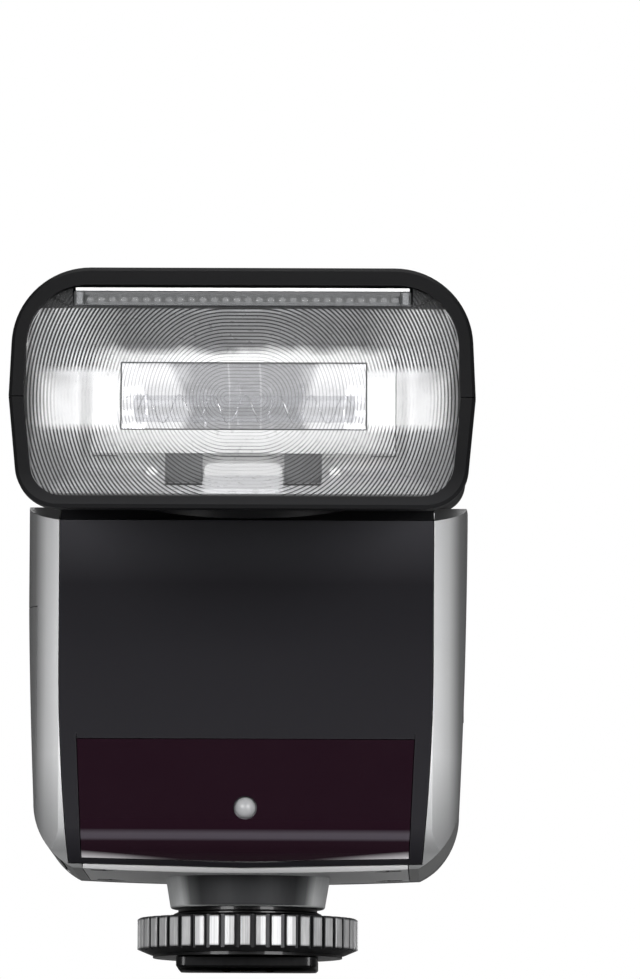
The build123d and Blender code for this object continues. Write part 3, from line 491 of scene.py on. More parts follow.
def ring():
    """Black anodised, with painted highlights: the crests of the teeth are painted a light grey.
    """
    m = Material("ring_anodised")
    radius, z = m.radius()
    grain = m.noise(scale=1.6, detail=4.0, rough=0.6, stretch=(1, 1, 0.12))
    # painted highlights: the crests of the teeth are painted light grey
    crest = m.mul(m.map(radius, over=(14.35, 14.6)),
                  m.mul(m.map(z, over=(2.6, 2.9)), m.map(z, over=(6.35, 6.6), to=(1.0, 0.0))))
    crest = m.mul(crest, m.map(grain, over=(0.3, 0.6), to=(0.75, 1.0)))
    body = m.mix(grain, (0.018, 0.018, 0.019), to=(0.032, 0.032, 0.034))
    lines = m.map(m.noise(scale=1.0, detail=2.0, rough=0.7, stretch=(6.0, 6.0, 0.02)),
                  over=(0.4, 0.6))
    m.color(m.mix(crest, body, to=m.mix(lines, (0.36, 0.36, 0.365), to=(0.50, 0.50, 0.505))))
    m.set(rough=m.spread(grain, to=(0.34, 0.46)), spec=0.3,
          metal=m.map(crest, over=(0.0, 1.0), to=(0.6, 0.30)))
    m.bump(grain, depth=0.006, strength=0.5)


def collar():
    """Satin metal cone with painted light: painted shade where it faces the viewer, and painted
    highlights on its flanks.
    """
    m = Material("collar_satin")
    grain = m.noise(scale=1.6, detail=4.0, rough=0.6, stretch=(1, 1, 0.15))
    turned = m.noise(scale=1.0, detail=3.0, rough=0.6, stretch=(0.05, 0.05, 6.0))
    # painted shade in the middle and painted highlights on the flanks, from how the surface faces
    # the viewer
    color = m.ramp(m.facing(), [
        (0.0, (0.026, 0.0265, 0.028)), (0.20, (0.030, 0.0305, 0.032)),
        (0.32, (0.12, 0.123, 0.125)), (0.45, (0.62, 0.63, 0.635)), (0.75, (0.56, 0.57, 0.575))])
    color = m.mix(m.spread(grain, to=(0.0, 0.12)), color, to=(0.06, 0.06, 0.062))
    m.color(m.mix(m.mul(m.edge(radius=0.14), 0.3), color, to=0.3))
    m.set(rough=m.spread(turned, to=(0.36, 0.46)), metal=0.25, spec=0.2)
    m.bump(turned, depth=0.003, strength=0.4)


def board():
    """Green solder mask with raised tracks."""
    m = Material("solder_mask")
    cells = m.node("TexVoronoi", {"Vector": m.position, "Scale": 0.55},
                   distance="MANHATTAN", feature="DISTANCE_TO_EDGE")
    tracks = m.map(cells.outputs["Distance"], over=(0.02, 0.05), to=(1.0, 0.0))
    color = m.mix(m.noise(scale=0.4), (0.006, 0.045, 0.02), to=(0.01, 0.065, 0.03))
    m.color(m.mix(tracks, color, to=(0.03, 0.13, 0.06)))
    m.set(rough=m.spread(m.noise(scale=3.0), to=(0.25, 0.4)), coat=0.3)
    m.bump(tracks, depth=0.03, strength=0.5)


def lcd():
    m = Material("lcd_glass_panel")
    m.color(m.mix(m.noise(scale=0.08, detail=2.0), (0.235, 0.265, 0.215), to=(0.28, 0.31, 0.25)))
    m.set(rough=m.spread(m.noise(scale=2.0), to=(0.30, 0.4)), coat=0.4, coat_rough=0.05)
    m.bump(m.noise(scale=6.0), depth=0.002, strength=0.3)


def lcd_window():
    """Hard-coated clear window with a dark printed border."""
    m = Material("lcd_cover_window")
    (_, _, z0), (_, _, z1) = box_mm("lcd_window")
    opening_z = (z0 + z1) / 2 + 0.2
    x, _, z = m.xyz()
    inside = m.mul(m.map(m.size(x), over=(16.3, 16.5), to=(1.0, 0.0)),
                   m.map(m.size(m.sub(z, opening_z)), over=(6.8, 7.0), to=(1.0, 0.0)))
    m.color(m.mix(m.noise(scale=0.5), (0.008, 0.008, 0.009), to=(0.013, 0.013, 0.014)))
    m.set(rough=m.map(m.noise(scale=3.0, detail=4.0), over=(0.3, 0.75), to=(0.05, 0.12)),
          coat=0.8, coat_rough=0.03)
    m.bump(m.noise(scale=0.5), depth=0.005, strength=0.2)
    clearness = 0.86
    tint = (0.92, 0.94, 0.93)
    m.surface(m.mix_shader(m.mul(inside, clearness), m.solid, m.transparent(tint)))


def cell():
    """Foil jacket banded along X: bright ends, a dark length and a tan length."""
    m = Material("cell_foil_jacket")
    x = m.xyz()[0]
    bands = m.ramp(m.map(x, over=(-25.0, 24.5)), [
        (0.0, (0.45, 0.45, 0.46)), (0.03, (0.10, 0.11, 0.12)), (0.70, (0.09, 0.10, 0.11)),
        (0.74, (0.34, 0.30, 0.20)), (0.97, (0.34, 0.30, 0.20)), (1.0, 0.5)])
    scuffs = m.map(m.noise(scale=1.5), over=(0.4, 0.7), to=(0.0, 0.25))
    m.color(m.mix(scuffs, bands, to=0.3))
    m.set(rough=m.spread(m.noise(scale=2.0), to=(0.25, 0.4)), metal=0.4, coat=0.4)
    m.bump(m.noise(scale=2.5), depth=0.01, strength=0.4)


for build in (bezel, panel, silver, window, groove, light_box, mirror, ring, collar, board, lcd,
              lcd_window, cell):
    build()

# material: the CAD pieces that wear it
WEARERS = {
    "panel_satin_black": "front_cover",
    "black_moulded": "rear_cover pan_turret battery_tray head_chassis zoom_carriage"
                     " panel_cassette",
    "deck_black": "top_deck",
    "underside_grey": "bottom_cover",
    "bezel_black": "head_upper_shell head_lower_shell",
    "silver_grey_lacquer": "left_side_shell right_side_shell battery_door",
    "infrared_window": "ir_window",
    "lens_acrylic": "fresnel_lens",
    "clear_acrylic": "wide_panel",
    "sensor_dome": "optic_sensor",
    "white_plastic": "catchlight_card",
    "light_box_metallised": "light_box",
    "collar_satin": "foot_collar",
    "ring_anodised": "lock_ring",
    "stem_anodised": "foot_stem",
    "foot_anodised": "foot_plate lock_washer",
    "black_zinc_screw": "case_screws",
    "brushed_steel": "door_hinge_rod zoom_guide_rods zoom_lead_screw tilt_pivots turret_clip"
                     " turret_spring_washer bay_contacts door_contact_strap usb_socket"
                     " wide_panel_carrier tube_electrodes",
    "zinc_motor_can": "zoom_motor",
    "gold_flash": "contact_pins",
    "button_rubber": "socket_cover set_button mode_button zoom_button wireless_button"
                     " sync_button test_button",
    "dial_plastic": "power_switch select_dial",
    "lcd_cover_window": "lcd_window",
    "lcd_glass_panel": "lcd_module",
    "solder_mask": "control_board main_board focus_lamp_board",
    "cell_foil_jacket": "aa_cells",
    "shrink_sleeve": "main_capacitor step_up_transformer flash_cable",
    "bright_aluminium": "reflector",
    "quartz_tube": "flash_tube",
}
material_of = {node: name for name, wearers in WEARERS.items() for node in wearers.split()}
for node, piece in frame["nodes"].items():
    piece.data.materials.clear()
    piece.data.materials.append(materials[material_of[node]])


# ------------------------------------------------------------------ mesh helpers
def mesh_object(name, verts, faces, material_names):
    mesh = bpy.data.meshes.new(name)
    mesh.from_pydata([tuple(part * MM for part in vert) for vert in verts], [], faces)
    mesh.validate()
    mesh.update()
    obj = bpy.data.objects.new(name, mesh)
    scene.collection.objects.link(obj)
    for material_name in material_names:
        mesh.materials.append(materials[material_name])
    return obj


def part(name, verts, faces, material_names, body, slot, smooth=False):
    """A new piece that rides a CAD body."""
    obj = mesh_object(name, verts, faces, material_names)
    if smooth:
        for polygon in obj.data.polygons:
            polygon.use_smooth = True
    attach(obj, body)
    return obj


def face_outwards(obj, weld=False):
    bm = bmesh.new()
    bm.from_mesh(obj.data)
    if weld:
        bmesh.ops.remove_doubles(bm, verts=bm.verts, dist=1e-7)
        bmesh.ops.dissolve_degenerate(bm, edges=bm.edges, dist=1e-7)
    bmesh.ops.recalc_face_normals(bm, faces=bm.faces)
    bm.to_mesh(obj.data)
    bm.free()


def prism(name, outline, start, end, material, body, slot, upright=False):
    """An outline in X and Z extruded along Y, or if upright one in X and Y along Z."""
    count = len(outline)
    verts = [(a, b, level) if upright else (a, level, b)
             for level in (start, end) for a, b in outline]
    faces = [tuple(range(count)), tuple(reversed(range(count, 2 * count)))]
    for i in range(count):
        j = (i + 1) % count
        faces.append((i, j, count + j, count + i))
    obj = part(name, verts, faces, [material], body, slot)
    face_outwards(obj)
    return obj


def join(objs, name):
    """One piece from several that ride the same body."""
    base = objs[0]
    bm = bmesh.new()
    for obj in objs:
        bm.from_mesh(obj.data)
    bm.to_mesh(base.data)
    bm.free()
    for obj in objs[1:]:
        bpy.data.objects.remove(obj)
    base.name = name


def prisms(name, prefix, outlines, *args, **options):
    """Several prisms as one piece; each is named from the prefix until they are joined."""
    join([prism(prefix + str(i), outline, *args, **options)
          for i, outline in enumerate(outlines)], name)


def framed(name, outer, inner, y0, y1, *args):
    """A flat frame between two outlines with the same number of points."""
    n = len(outer)
    verts = [(x, y, z) for y in (y0, y1) for loop in (outer, inner) for x, z in loop]
    faces = []
    for i in range(n):
        j = (i + 1) % n
        faces += [(i, j, n + j, n + i), (2 * n + j, 2 * n + i, 3 * n + i, 3 * n + j),
                  (i, 2 * n + i, 2 * n + j, j), (n + j, 3 * n + j, 3 * n + i, n + i)]
    return part(name, verts, faces, *args)


def arc(cx, cz, radius, start, end, steps):
    """Points on an arc between two angles in degrees."""
    angles = [math.radians(start + (end - start) * i / steps) for i in range(steps + 1)]
    return [(cx + radius * math.cos(a), cz + radius * math.sin(a)) for a in angles]


def disc(cx, cz, radius):
    return arc(cx, cz, radius, 0, 360, steps=28)[:-1]


def rect(x0, z0, x1, z1):
    return [(x0, z0), (x1, z0), (x1, z1), (x0, z1)]


def rounded(cx, cz, width, height, radius):
    """Rectangle with round corners."""
    points = []
    for side, level, start in ((1, -1, -90), (1, 1, 0), (-1, 1, 90), (-1, -1, 180)):
        points += arc(cx + side * (width / 2 - radius), cz + level * (height / 2 - radius),
                      radius, start, start + 90, steps=6)
    return points


def bar(x0, z0, x1, z1, width):
    """Straight stroke between two points."""
    dx, dz = x1 - x0, z1 - z0
    length = math.hypot(dx, dz)
    px, pz = -dz / length * width / 2, dx / length * width / 2
    return [(x0 + px, z0 + pz), (x1 + px, z1 + pz), (x1 - px, z1 - pz), (x0 - px, z0 - pz)]


def spoke(cx, cz, angle, inner, outer, width):
    """Stroke that points away from a centre."""
    dx, dz = math.cos(angle), math.sin(angle)
    return bar(cx + inner * dx, cz + inner * dz, cx + outer * dx, cz + outer * dz, width)


# ------------------------------------------------------------------ fresnel lens
LENS_MATERIALS = ["lens_acrylic", "lens_groove_wall"]
SHEET_FRONT = LENS_FRONT + 0.02
SHEET_BACK = LENS_BACK - 0.42   # the rings rise from here towards +Y, into the head
LENS_ABOVE = 14.44              # from the centre of the rings up to the upper edge
LOW_CORNER_X, LOW_CORNER_R = 22.95, 4.34
HIGH_CORNER_X, HIGH_CORNER_R = 19.85, 7.94
SLOT_Z, SLOT_HALF = 11.72, 21.95  # the panel slot takes the top of the lens above SLOT_Z
CORNER_X, CORNER_Z = 21.97, 14.36  # the corner pieces start beside the slot
RAYS, CORNER_STEPS = 720, 46
RING_PITCH, RING_REACH = 0.45, 29.5
RING_STRAIGHT = 1.95            # half length of the straight run of each ring


def lens_outline():
    """Outline about the centre of the rings, anticlockwise seen from the front."""
    right = (arc(LOW_CORNER_X, LOW_CORNER_R - LENS_BELOW, LOW_CORNER_R, -90, -5, steps=14)
             + [(LENS_HALF, 0.0)]
             + arc(HIGH_CORNER_X, LENS_ABOVE - HIGH_CORNER_R, HIGH_CORNER_R, 2, 90, steps=14))
    return right + [(-x, z) for x, z in reversed(right)]


OUTLINE = lens_outline()


def outline_distance(theta):
    """Distance from the centre to the outline, past the slot."""
    dx, dz = math.cos(theta), math.sin(theta)
    nearest = 1e9
    for (x0, z0), (x1, z1) in zip(OUTLINE, OUTLINE[1:] + OUTLINE[:1]):
        ex, ez = x1 - x0, z1 - z0
        det = ex * dz - dx * ez
        if abs(det) < 1e-12:
            continue
        distance = (ex * z0 - x0 * ez) / det
        along = (dx * z0 - dz * x0) / det
        if distance > 0 and -1e-9 <= along <= 1 + 1e-9:
            nearest = min(nearest, distance)
    return nearest


def rim_distance(theta):
    """Distance from the centre to the outline or to the slot, whichever is nearer."""
    rim = outline_distance(theta)
    if math.sin(theta) > 0:
        to_slot = SLOT_Z / math.sin(theta)
        if abs(to_slot * math.cos(theta)) < SLOT_HALF:
            rim = min(rim, to_slot)
    return rim


def ring_radius(theta, offset):
    """Distance from the centre to the stadium that lies offset from the straight run."""
    dx, dz = abs(math.cos(theta)), abs(math.sin(theta))
    if dz > 1e-9 and (offset / dz) * dx <= RING_STRAIGHT:
        return offset / dz
    b = -2 * RING_STRAIGHT * dx
    c = RING_STRAIGHT * RING_STRAIGHT - offset * offset
    return (-b + math.sqrt(max(0.0, b * b - 4 * c))) / 2


def ring_profile():
    """Stations (offset, height): each ring climbs to its crest, then drops by a steep wall."""
    stations = []
    for i in range(math.ceil(RING_REACH / RING_PITCH)):
        offset = i * RING_PITCH
        growth = min(1.0, 0.12 + offset / 22.0)
        draft = 0.05 + 0.16 * growth
        stations.append((offset + 0.0001, 0.0))
        stations.append((offset + RING_PITCH - draft, 0.40 * growth))
    return stations


PROFILE = ring_profile()


def lens_point(radius, theta, y, side=1):
    return side * radius * math.cos(theta), y, HEAD_Z + radius * math.sin(theta)


def set_face_materials(obj, indices):
    # guards against faces dropped by validate(), which would shift the list
    if len(obj.data.polygons) == len(indices):
        obj.data.polygons.foreach_set("material_index", indices)


def ring_lens():
    thetas = [2 * math.pi * (i + 0.5) / RAYS for i in range(RAYS)]
    rims = [rim_distance(theta) for theta in thetas]
    verts, faces, indices = [], [], []
    for offset, height in PROFILE:
        for theta, rim in zip(thetas, rims):
            radius = ring_radius(theta, offset)
            if radius >= rim:
                verts.append(lens_point(rim, theta, SHEET_BACK))
            else:
                verts.append(lens_point(radius, theta, SHEET_BACK + height))

    def together(i, j):
        return (Vector(verts[i]) - Vector(verts[j])).length < 2e-4

    for row in range(len(PROFILE) - 1):
        for j in range(RAYS):
            a, b = row * RAYS + j, row * RAYS + (j + 1) % RAYS
            if together(a, a + RAYS) and together(b, b + RAYS):
                continue
            faces.append((a, a + RAYS, b + RAYS, b))
            indices.append(row % 2)
    # rim and front sheet
    front = len(verts)
    back = front + RAYS
    for y in (SHEET_FRONT, SHEET_BACK):
        verts += [lens_point(rim, theta, y) for theta, rim in zip(thetas, rims)]
    for j in range(RAYS):
        k = (j + 1) % RAYS
        faces.append((front + j, front + k, back + k, back + j))
    faces.append(tuple(reversed(range(front, back))))
    indices += [0] * (RAYS + 1)
    lens = part("fresnel_ring_lens", verts, faces, LENS_MATERIALS, "head", "clear_lens")
    set_face_materials(lens, indices)
    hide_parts("fresnel_lens")


def lens_corner(name, side):
    """The corner beside the panel slot carries the same rings."""
    start, end = math.atan2(SLOT_Z, CORNER_X), math.atan2(CORNER_Z, CORNER_X)
    verts, faces, indices = [], [], []
    for i in range(CORNER_STEPS + 1):
        theta = start + (end - start) * i / CORNER_STEPS
        inner = CORNER_X / math.cos(theta)
        outer = max(inner + 0.02, outline_distance(theta))
        stations = [(inner, 0.0)]
        for offset, height in PROFILE:
            radius = ring_radius(theta, offset)
            stations.append((min(max(radius, inner), outer),
                             height if inner < radius < outer else 0.0))
        stations.append((outer, 0.0))
        verts += [lens_point(radius, theta, SHEET_BACK + height, side)
                  for radius, height in stations]
        verts += [lens_point(radius, theta, SHEET_FRONT, side) for radius in (inner, outer)]
    # each column holds its back stations, then its inner and outer front points
    last = len(PROFILE) + 1
    column = last + 3
    for j in range(CORNER_STEPS):
        a, b = j * column, (j + 1) * column
        for i in range(last):
            faces.append((a + i, a + i + 1, b + i + 1, b + i))
            indices.append(1 if i >= 1 and i % 2 == 0 else 0)
        a_in, a_out, b_in, b_out = a + last + 1, a + last + 2, b + last + 1, b + last + 2
        faces += [(a_in, b_in, b, a), (a_out, a + last, b + last, b_out),
                  (a_in, a_out, b_out, b_in)]
        indices += [0, 0, 0]
    for j in (0, CORNER_STEPS):
        a = j * column
        faces.append((*range(a, a + last + 1), a + last + 2, a + last + 1))
        indices.append(0)
    corner = part(name, verts, faces, LENS_MATERIALS, "head", "clear_lens")
    set_face_materials(corner, indices)
    face_outwards(corner, weld=True)


ring_lens()
lens_corner("lens_corner_l", side=-1)
lens_corner("lens_corner_r", side=1)


# ------------------------------------------------------------------ behind the lens
FRAME_HALF, FRAME_RISE = 19.7, 6.4                    # half width and half height
MOUTH = rect(-15.95, HEAD_Z - 3.3, 15.95, HEAD_Z + 5.4)


def reflector_surround():
    """White frame round the mouth of the reflector, its skirt, and a thin dark seam."""
    mouth_y = box_mm("reflector")[0][1]
    front, back = mouth_y - 0.15, mouth_y + 0.5
    low, high = HEAD_Z - FRAME_RISE, HEAD_Z + FRAME_RISE
    framed("reflector_frame", rect(-FRAME_HALF, low, FRAME_HALF, high), MOUTH, front, back,
           ["light_box_metallised"], "zoom_carriage", "white_plastic")
    wall = 0.3                  # thickness above and below
    inside = FRAME_HALF - 0.35
    prisms("reflector_skirt", "sk", [
        rect(-FRAME_HALF, low, FRAME_HALF, low + wall),
        rect(-FRAME_HALF, high - wall, FRAME_HALF, high),
        rect(-FRAME_HALF, low + wall, -inside, high - wall),
        rect(inside, low + wall, FRAME_HALF, high - wall),
    ], back, mouth_y + 3.4, "light_box_metallised", "zoom_carriage", "white_plastic")
    seam = [bar(*MOUTH[i], *MOUTH[(i + 1) % 4], width=0.16) for i in range(4)]
    prisms("reflector_seam", "seg", seam, front - 0.04, front, "display_segment",
           "zoom_carriage", "black_plastic")


def trigger_wire():
    """Wire wound round the tube."""
    (_, y0, z0), (_, y1, z1) = box_mm("flash_tube")
    cy, cz = (y0 + y1) / 2, (z0 + z1) / 2
    coil_radius = (z1 - z0) / 2 + 0.09
    wire_radius, turns, length = 0.07, 6.5, 28.0
    steps, sides = 260, 5
    verts, faces = [], []
    for i in range(steps + 1):
        turn = 2 * math.pi * turns * i / steps
        x = -length / 2 + length * i / steps
        for j in range(sides):
            around = 2 * math.pi * j / sides
            radius = coil_radius + wire_radius * math.cos(around)
            verts.append((x + wire_radius * math.sin(around),
                          cy + radius * math.cos(turn), cz + radius * math.sin(turn)))
    for i in range(steps):
        for j in range(sides):
            a, b = i * sides + j, i * sides + (j + 1) % sides
            faces.append((a, b, b + sides, a + sides))
    part("tube_trigger_wire", verts, faces, ["brushed_steel"], "zoom_carriage", "steel",
         smooth=True)


def light_box_details():
    """Low in the light box: two dark pockets, a small round fixing beyond each, and a white
    tab with round ends between them."""
    y = box_mm("light_box")[0][1] + 7.85
    back = y + 0.3
    for side, suffix in ((-1, "l"), (1, "r")):
        prism("box_pocket_" + suffix, rounded(side * 7.75, HEAD_Z - 8.25, 4.9, 3.9, radius=0.3),
              y, back, "pocket_dark", "head", "black_plastic")
        prism("box_fixing_" + suffix, disc(side * 11.9, HEAD_Z - 8.9, radius=0.75),
              y - 0.2, back, "white_plastic", "head", "white_plastic")
    prism("box_tab", rounded(0, HEAD_Z - 8.75, 10.2, 2.1, radius=1.0), y - 0.5, back,
          "tab_white", "head", "white_plastic")


reflector_surround()
trigger_wire()
light_box_details()


# ------------------------------------------------------------------ wide panel
DOME_PITCH, DOME_MARGIN = 1.46, 3.4     # spacing, and the width left free of domes
DOME_HALF_X, DOME_HALF_Z, DOME_HEIGHT = 0.52, 0.40, 0.22
DOME_RINGS, DOME_SIDES = 4, 12


def lenticules(x1, y0, z0):
    """A row of small domes along the foot of the panel's front face."""
    verts, faces = [], []
    count = int((2 * x1 - DOME_MARGIN) / DOME_PITCH)
    cz = z0 + 0.62
    for k in range(count + 1):
        cx = -count * DOME_PITCH / 2 + DOME_PITCH * k
        base = len(verts)
        for i in range(DOME_RINGS):
            lift = math.pi / 2 * i / DOME_RINGS
            for j in range(DOME_SIDES):
                around = 2 * math.pi * j / DOME_SIDES
                verts.append((cx + DOME_HALF_X * math.cos(lift) * math.cos(around),
                              y0 - DOME_HEIGHT * math.sin(lift),
                              cz + DOME_HALF_Z * math.cos(lift) * math.sin(around)))
        tip = len(verts)
        verts.append((cx, y0 - DOME_HEIGHT, cz))
        for i in range(DOME_RINGS):
            for j in range(DOME_SIDES):
                a = base + i * DOME_SIDES + j
                b = base + i * DOME_SIDES + (j + 1) % DOME_SIDES
                if i < DOME_RINGS - 1:
                    faces.append((a, b, b + DOME_SIDES, a + DOME_SIDES))
                else:
                    faces.append((a, b, tip))
    part("panel_lenticules", verts, faces, ["lenticule_acrylic"], "wide_panel", "clear_lens",
         smooth=True)


def panel_details():
    (_, y0, z0), (x1, _, z1) = box_mm("wide_panel")
    lenticules(x1, y0, z0)
    dark = ("display_segment", "wide_panel", "black_plastic")
    gap = 0.16
    for side, suffix in ((-1, "l"), (1, "r")):
        tab = rounded(side * (x1 - 0.7), (z0 + z1) / 2, 0.75, (z1 - z0) * 0.92, radius=0.25)
        prism("panel_tab_" + suffix, tab, y0 - 0.25, y0 + 0.1, "lenticule_acrylic",
              "wide_panel", "clear_lens")
        gap_x, line_x = side * (x1 - gap / 2), side * (x1 - 1.35)
        prism("panel_tab_gap_" + suffix, bar(gap_x, z0, gap_x, z1, width=gap),
              y0 - 0.12, y0 + 0.05, *dark)
        prism("panel_tab_line_" + suffix, bar(line_x, z0, line_x, z1, width=0.12),
              y0 - 0.1, y0 + 0.05, *dark)
    line_z, line_end = z1 - 0.12, x1 - 1.3
    prism("panel_top_line", bar(-line_end, line_z, line_end, line_z, width=0.22),
          y0 - 0.06, y0 + 0.02, "pocket_dark", "wide_panel", "black_plastic")


panel_details()


# ------------------------------------------------------------------ tilt drum
def drum_ribs():
    """Nine ribs round the tilt axis, over the rear and the top of the drum."""
    (_, _, z0), (_, _, z1) = box_mm("tilt_pivots")
    axis_z = (z0 + z1) / 2
    pitch, steps = 2.35, 48
    start, sweep = -38, 190     # degrees, from +Y towards +Z
    section = [(-0.62, 11.2), (-0.5, 11.5), (0.5, 11.5), (0.62, 11.2)]  # x, radius
    verts, faces = [], []
    for k in range(-4, 5):
        base = len(verts)
        for j in range(steps + 1):
            angle = math.radians(start + sweep * j / steps)
            for dx, radius in section:
                verts.append((k * pitch + dx, radius * math.cos(angle),
                              axis_z + radius * math.sin(angle)))
        for j in range(steps):
            for i in range(4):
                a, b = base + j * 4 + i, base + j * 4 + (i + 1) % 4
                faces.append((a, a + 4, b + 4, b))
        faces.append(tuple(base + i for i in range(4)))
        faces.append(tuple(base + steps * 4 + i for i in reversed(range(4))))
    part("drum_ribs", verts, faces, ["black_moulded"], "turret", "black_plastic")


drum_ribs()


# ------------------------------------------------------------------ display and markings
# The rear is read from behind, where +X is to the left.
DIGIT_SEGMENTS = {"1": "bc", "3": "abgcd", "5": "afgcd", "8": "abcdefg"}


def digit(char, x, z, width, height, stroke):
    """Strokes of a seven-segment digit."""
    left, right = x + width / 2, x - width / 2
    top, bottom = z + height / 2, z - height / 2
    gap = stroke * 0.3
    lines = {
        "a": (left, top, right, top),
        "b": (right, top - gap, right, z + gap),
        "c": (right, z - gap, right, bottom + gap),
        "d": (left, bottom, right, bottom),
        "e": (left, z - gap, left, bottom + gap),
        "f": (left, top - gap, left, z + gap),
        "g": (left, z, right, z),
    }
    return [bar(*lines[key], stroke) for key in DIGIT_SEGMENTS[char]]


def display_segments():
    (_, _, z0), (_, face, z1) = box_mm("lcd_module")
    zc = (z0 + z1) / 2 + 0.2
    shapes = []
    for char, x in (("1", 9.2), ("8", -0.4)):
        shapes += digit(char, x, zc + 0.6, width=3.2, height=5.6, stroke=0.75)
    shapes.append(bar(3.4, zc + 3.6, 6.6, zc - 2.6, width=0.6))
    for char, x in (("3", -9.6), ("5", -13.0)):
        shapes += digit(char, x, zc + 2.6, width=1.9, height=3.2, stroke=0.45)
    # scale along the foot, with every fourth tick longer
    for k in range(-11, 12):
        x, foot = k * 1.25, zc - 5.6
        shapes.append(bar(x, foot, x, foot + (1.0 if k % 4 else 1.7), width=0.22))
    shapes.append(bar(14.2, zc - 5.75, -14.2, zc - 5.75, width=0.2))
    # three blocks in an outline, in the upper left corner
    for k in range(3):
        x = 14.9 - 1.1 * k
        shapes.append(bar(x, zc + 5.2, x, zc + 6.3, width=0.7))
    left, right, low, high = 15.6, 12.0, zc + 4.95, zc + 6.55
    shapes += [bar(*ends, width=0.18) for ends in (
        (left, low, right, low), (left, high, right, high),
        (left, low, left, high), (right, low, right, high))]
    prisms("display_segments", "lcdseg", shapes, face, face + 0.04, "display_segment",
           "housing", "lcd_panel")


# button: outlines in X and Z about its centre
BUTTON_MARKS = {
    "mode_button": [bar(1.3, 0.5, -1.3, 0.5, width=0.28), bar(1.3, -0.5, -1.3, -0.5, width=0.28)],
    "zoom_button": [
        bar(1.5, 0.0, 0.5, 0.0, width=0.28),
        bar(-0.5, 0.0, -1.5, 0.0, width=0.28),
        [(1.7, 0.0), (1.05, 0.55), (1.05, -0.55)],
        [(-1.7, 0.0), (-1.05, -0.55), (-1.05, 0.55)],
    ],
    "wireless_button": [
        bar(0, -0.8, 0, 0.3, width=0.26),
        bar(-0.5, 0.0, -0.9, 0.75, width=0.22),
        bar(0.5, 0.0, 0.9, 0.75, width=0.22),
    ],
    "sync_button": [
        bar(1.2, -0.5, 1.2, 0.5, width=0.26),
        bar(1.2, 0.5, 0, 0.5, width=0.26),
        bar(0, 0.5, 0, -0.5, width=0.26),
        bar(0, -0.5, -1.2, -0.5, width=0.26),
        bar(-1.2, -0.5, -1.2, 0.5, width=0.26),
    ],
    "test_button": [
        [(0.3, 1.2), (0.75, -0.15), (0.1, -0.15), (-0.3, -1.2), (-0.75, 0.2), (-0.1, 0.2)],
    ],
    "set_button": [bar(0.9, 0, -0.9, 0, width=0.32), bar(0, 0.9, 0, -0.9, width=0.32)],
}


def button_marks(button, outlines):
    (x0, _, z0), (x1, face, z1) = box_mm(button)
    cx, cz = (x0 + x1) / 2, (z0 + z1) / 2
    placed = [[(cx + x, cz + z) for x, z in outline] for outline in outlines]
    prisms(button + "_mark", "mk", placed, face - 0.01, face + 0.025, "white_marking", button,
           "white_plastic")


def dial_marks():
    """A short line at each eighth of a turn."""
    (x0, _, z0), (x1, face, z1) = box_mm("select_dial")
    lines = [spoke((x0 + x1) / 2, (z0 + z1) / 2, math.pi / 4 * k, inner=7.7, outer=8.5,
                   width=0.3) for k in range(8)]
    prisms("dial_marks", "dm", lines, face - 0.03, face + 0.02, "white_marking",
           "select_dial", "white_plastic")


def switch_marks():
    """A stroke and a small ring above the power switch."""
    (x0, _, _), (x1, _, z1) = box_mm("power_switch")
    face = box_mm("rear_cover")[1][1]
    cx, cz, spread = (x0 + x1) / 2 + 2.0, z1 + 1.1, 3.1
    start, end = face - 0.02, face + 0.03
    stroke_x, ring_x = cx - spread, cx + spread
    stroke = prism("sw0", bar(stroke_x, cz - 0.5, stroke_x, cz + 0.5, width=0.3), start, end,
                   "white_marking", "housing", "white_plastic")
    circle = framed("sw1", disc(ring_x, cz, radius=0.62), disc(ring_x, cz, radius=0.38),
                    start, end, ["white_marking"], "housing", "white_plastic")
    join([stroke, circle], "switch_marks")


def switch_tray():
    """Dark plate with round corners, seen through the slot of the power switch."""
    (x0, y0, z0), (x1, _, z1) = box_mm("power_switch")
    x0, x1 = x0 - 0.3, x1 + 4.4
    z0, z1 = z0 - 0.2, z1 + 0.2
    y = y0 + 1.25
    prism("switch_tray", rounded((x0 + x1) / 2, (z0 + z1) / 2, x1 - x0, z1 - z0, radius=0.5),
          y - 0.12, y, "pocket_dark", "housing", "black_plastic")


def pan_ticks():
    """Tick marks round the turret disc, with every third one longer."""
    top = box_mm("top_deck")[1][2]
    ticks = [spoke(0, 0, 2 * math.pi * k / 24, inner=15.4 if k % 3 else 14.6, outer=16.7,
                   width=0.28) for k in range(24)]
    prisms("pan_ticks", "pt", ticks, top - 0.02, top + 0.02, "white_marking", "turret",
           "white_plastic", upright=True)


display_segments()
for button, outlines in BUTTON_MARKS.items():
    button_marks(button, outlines)
dial_marks()
switch_marks()
switch_tray()
pan_ticks()


# ------------------------------------------------------------------ stage
def floor():
    """Pale floor that fades to white far out and can't be seen from below."""
    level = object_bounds()[0].z / MM - 0.2
    half = 4000.0
    m = Material("floor_paper")
    camera_ray = m.node("LightPath").outputs["Is Camera Ray"]
    seen = m.mix(m.noise(scale=0.02), 0.80, to=0.84)
    m.color(m.mix(camera_ray, 0.20, to=seen))  # darker to all but the camera
    m.set(rough=m.spread(m.noise(scale=0.4), to=(0.7, 0.85)), spec=0.2)
    m.bump(m.noise(scale=1.5), depth=0.02, strength=0.4)
    far = m.mul(m.map(m.radius()[0], over=(70.0, 420.0)), camera_ray)
    top = m.mix_shader(far, m.solid, m.node("Emission", {"Strength": 1.0}).outputs[0])
    below = m.node("NewGeometry").outputs["Backfacing"]
    m.surface(m.mix_shader(below, top, m.transparent()))
    corners = [(x, y, level) for x, y in rect(-half, -half, half, half)]
    mesh_object("studio_floor", corners, [(0, 1, 2, 3)], ["floor_paper"])


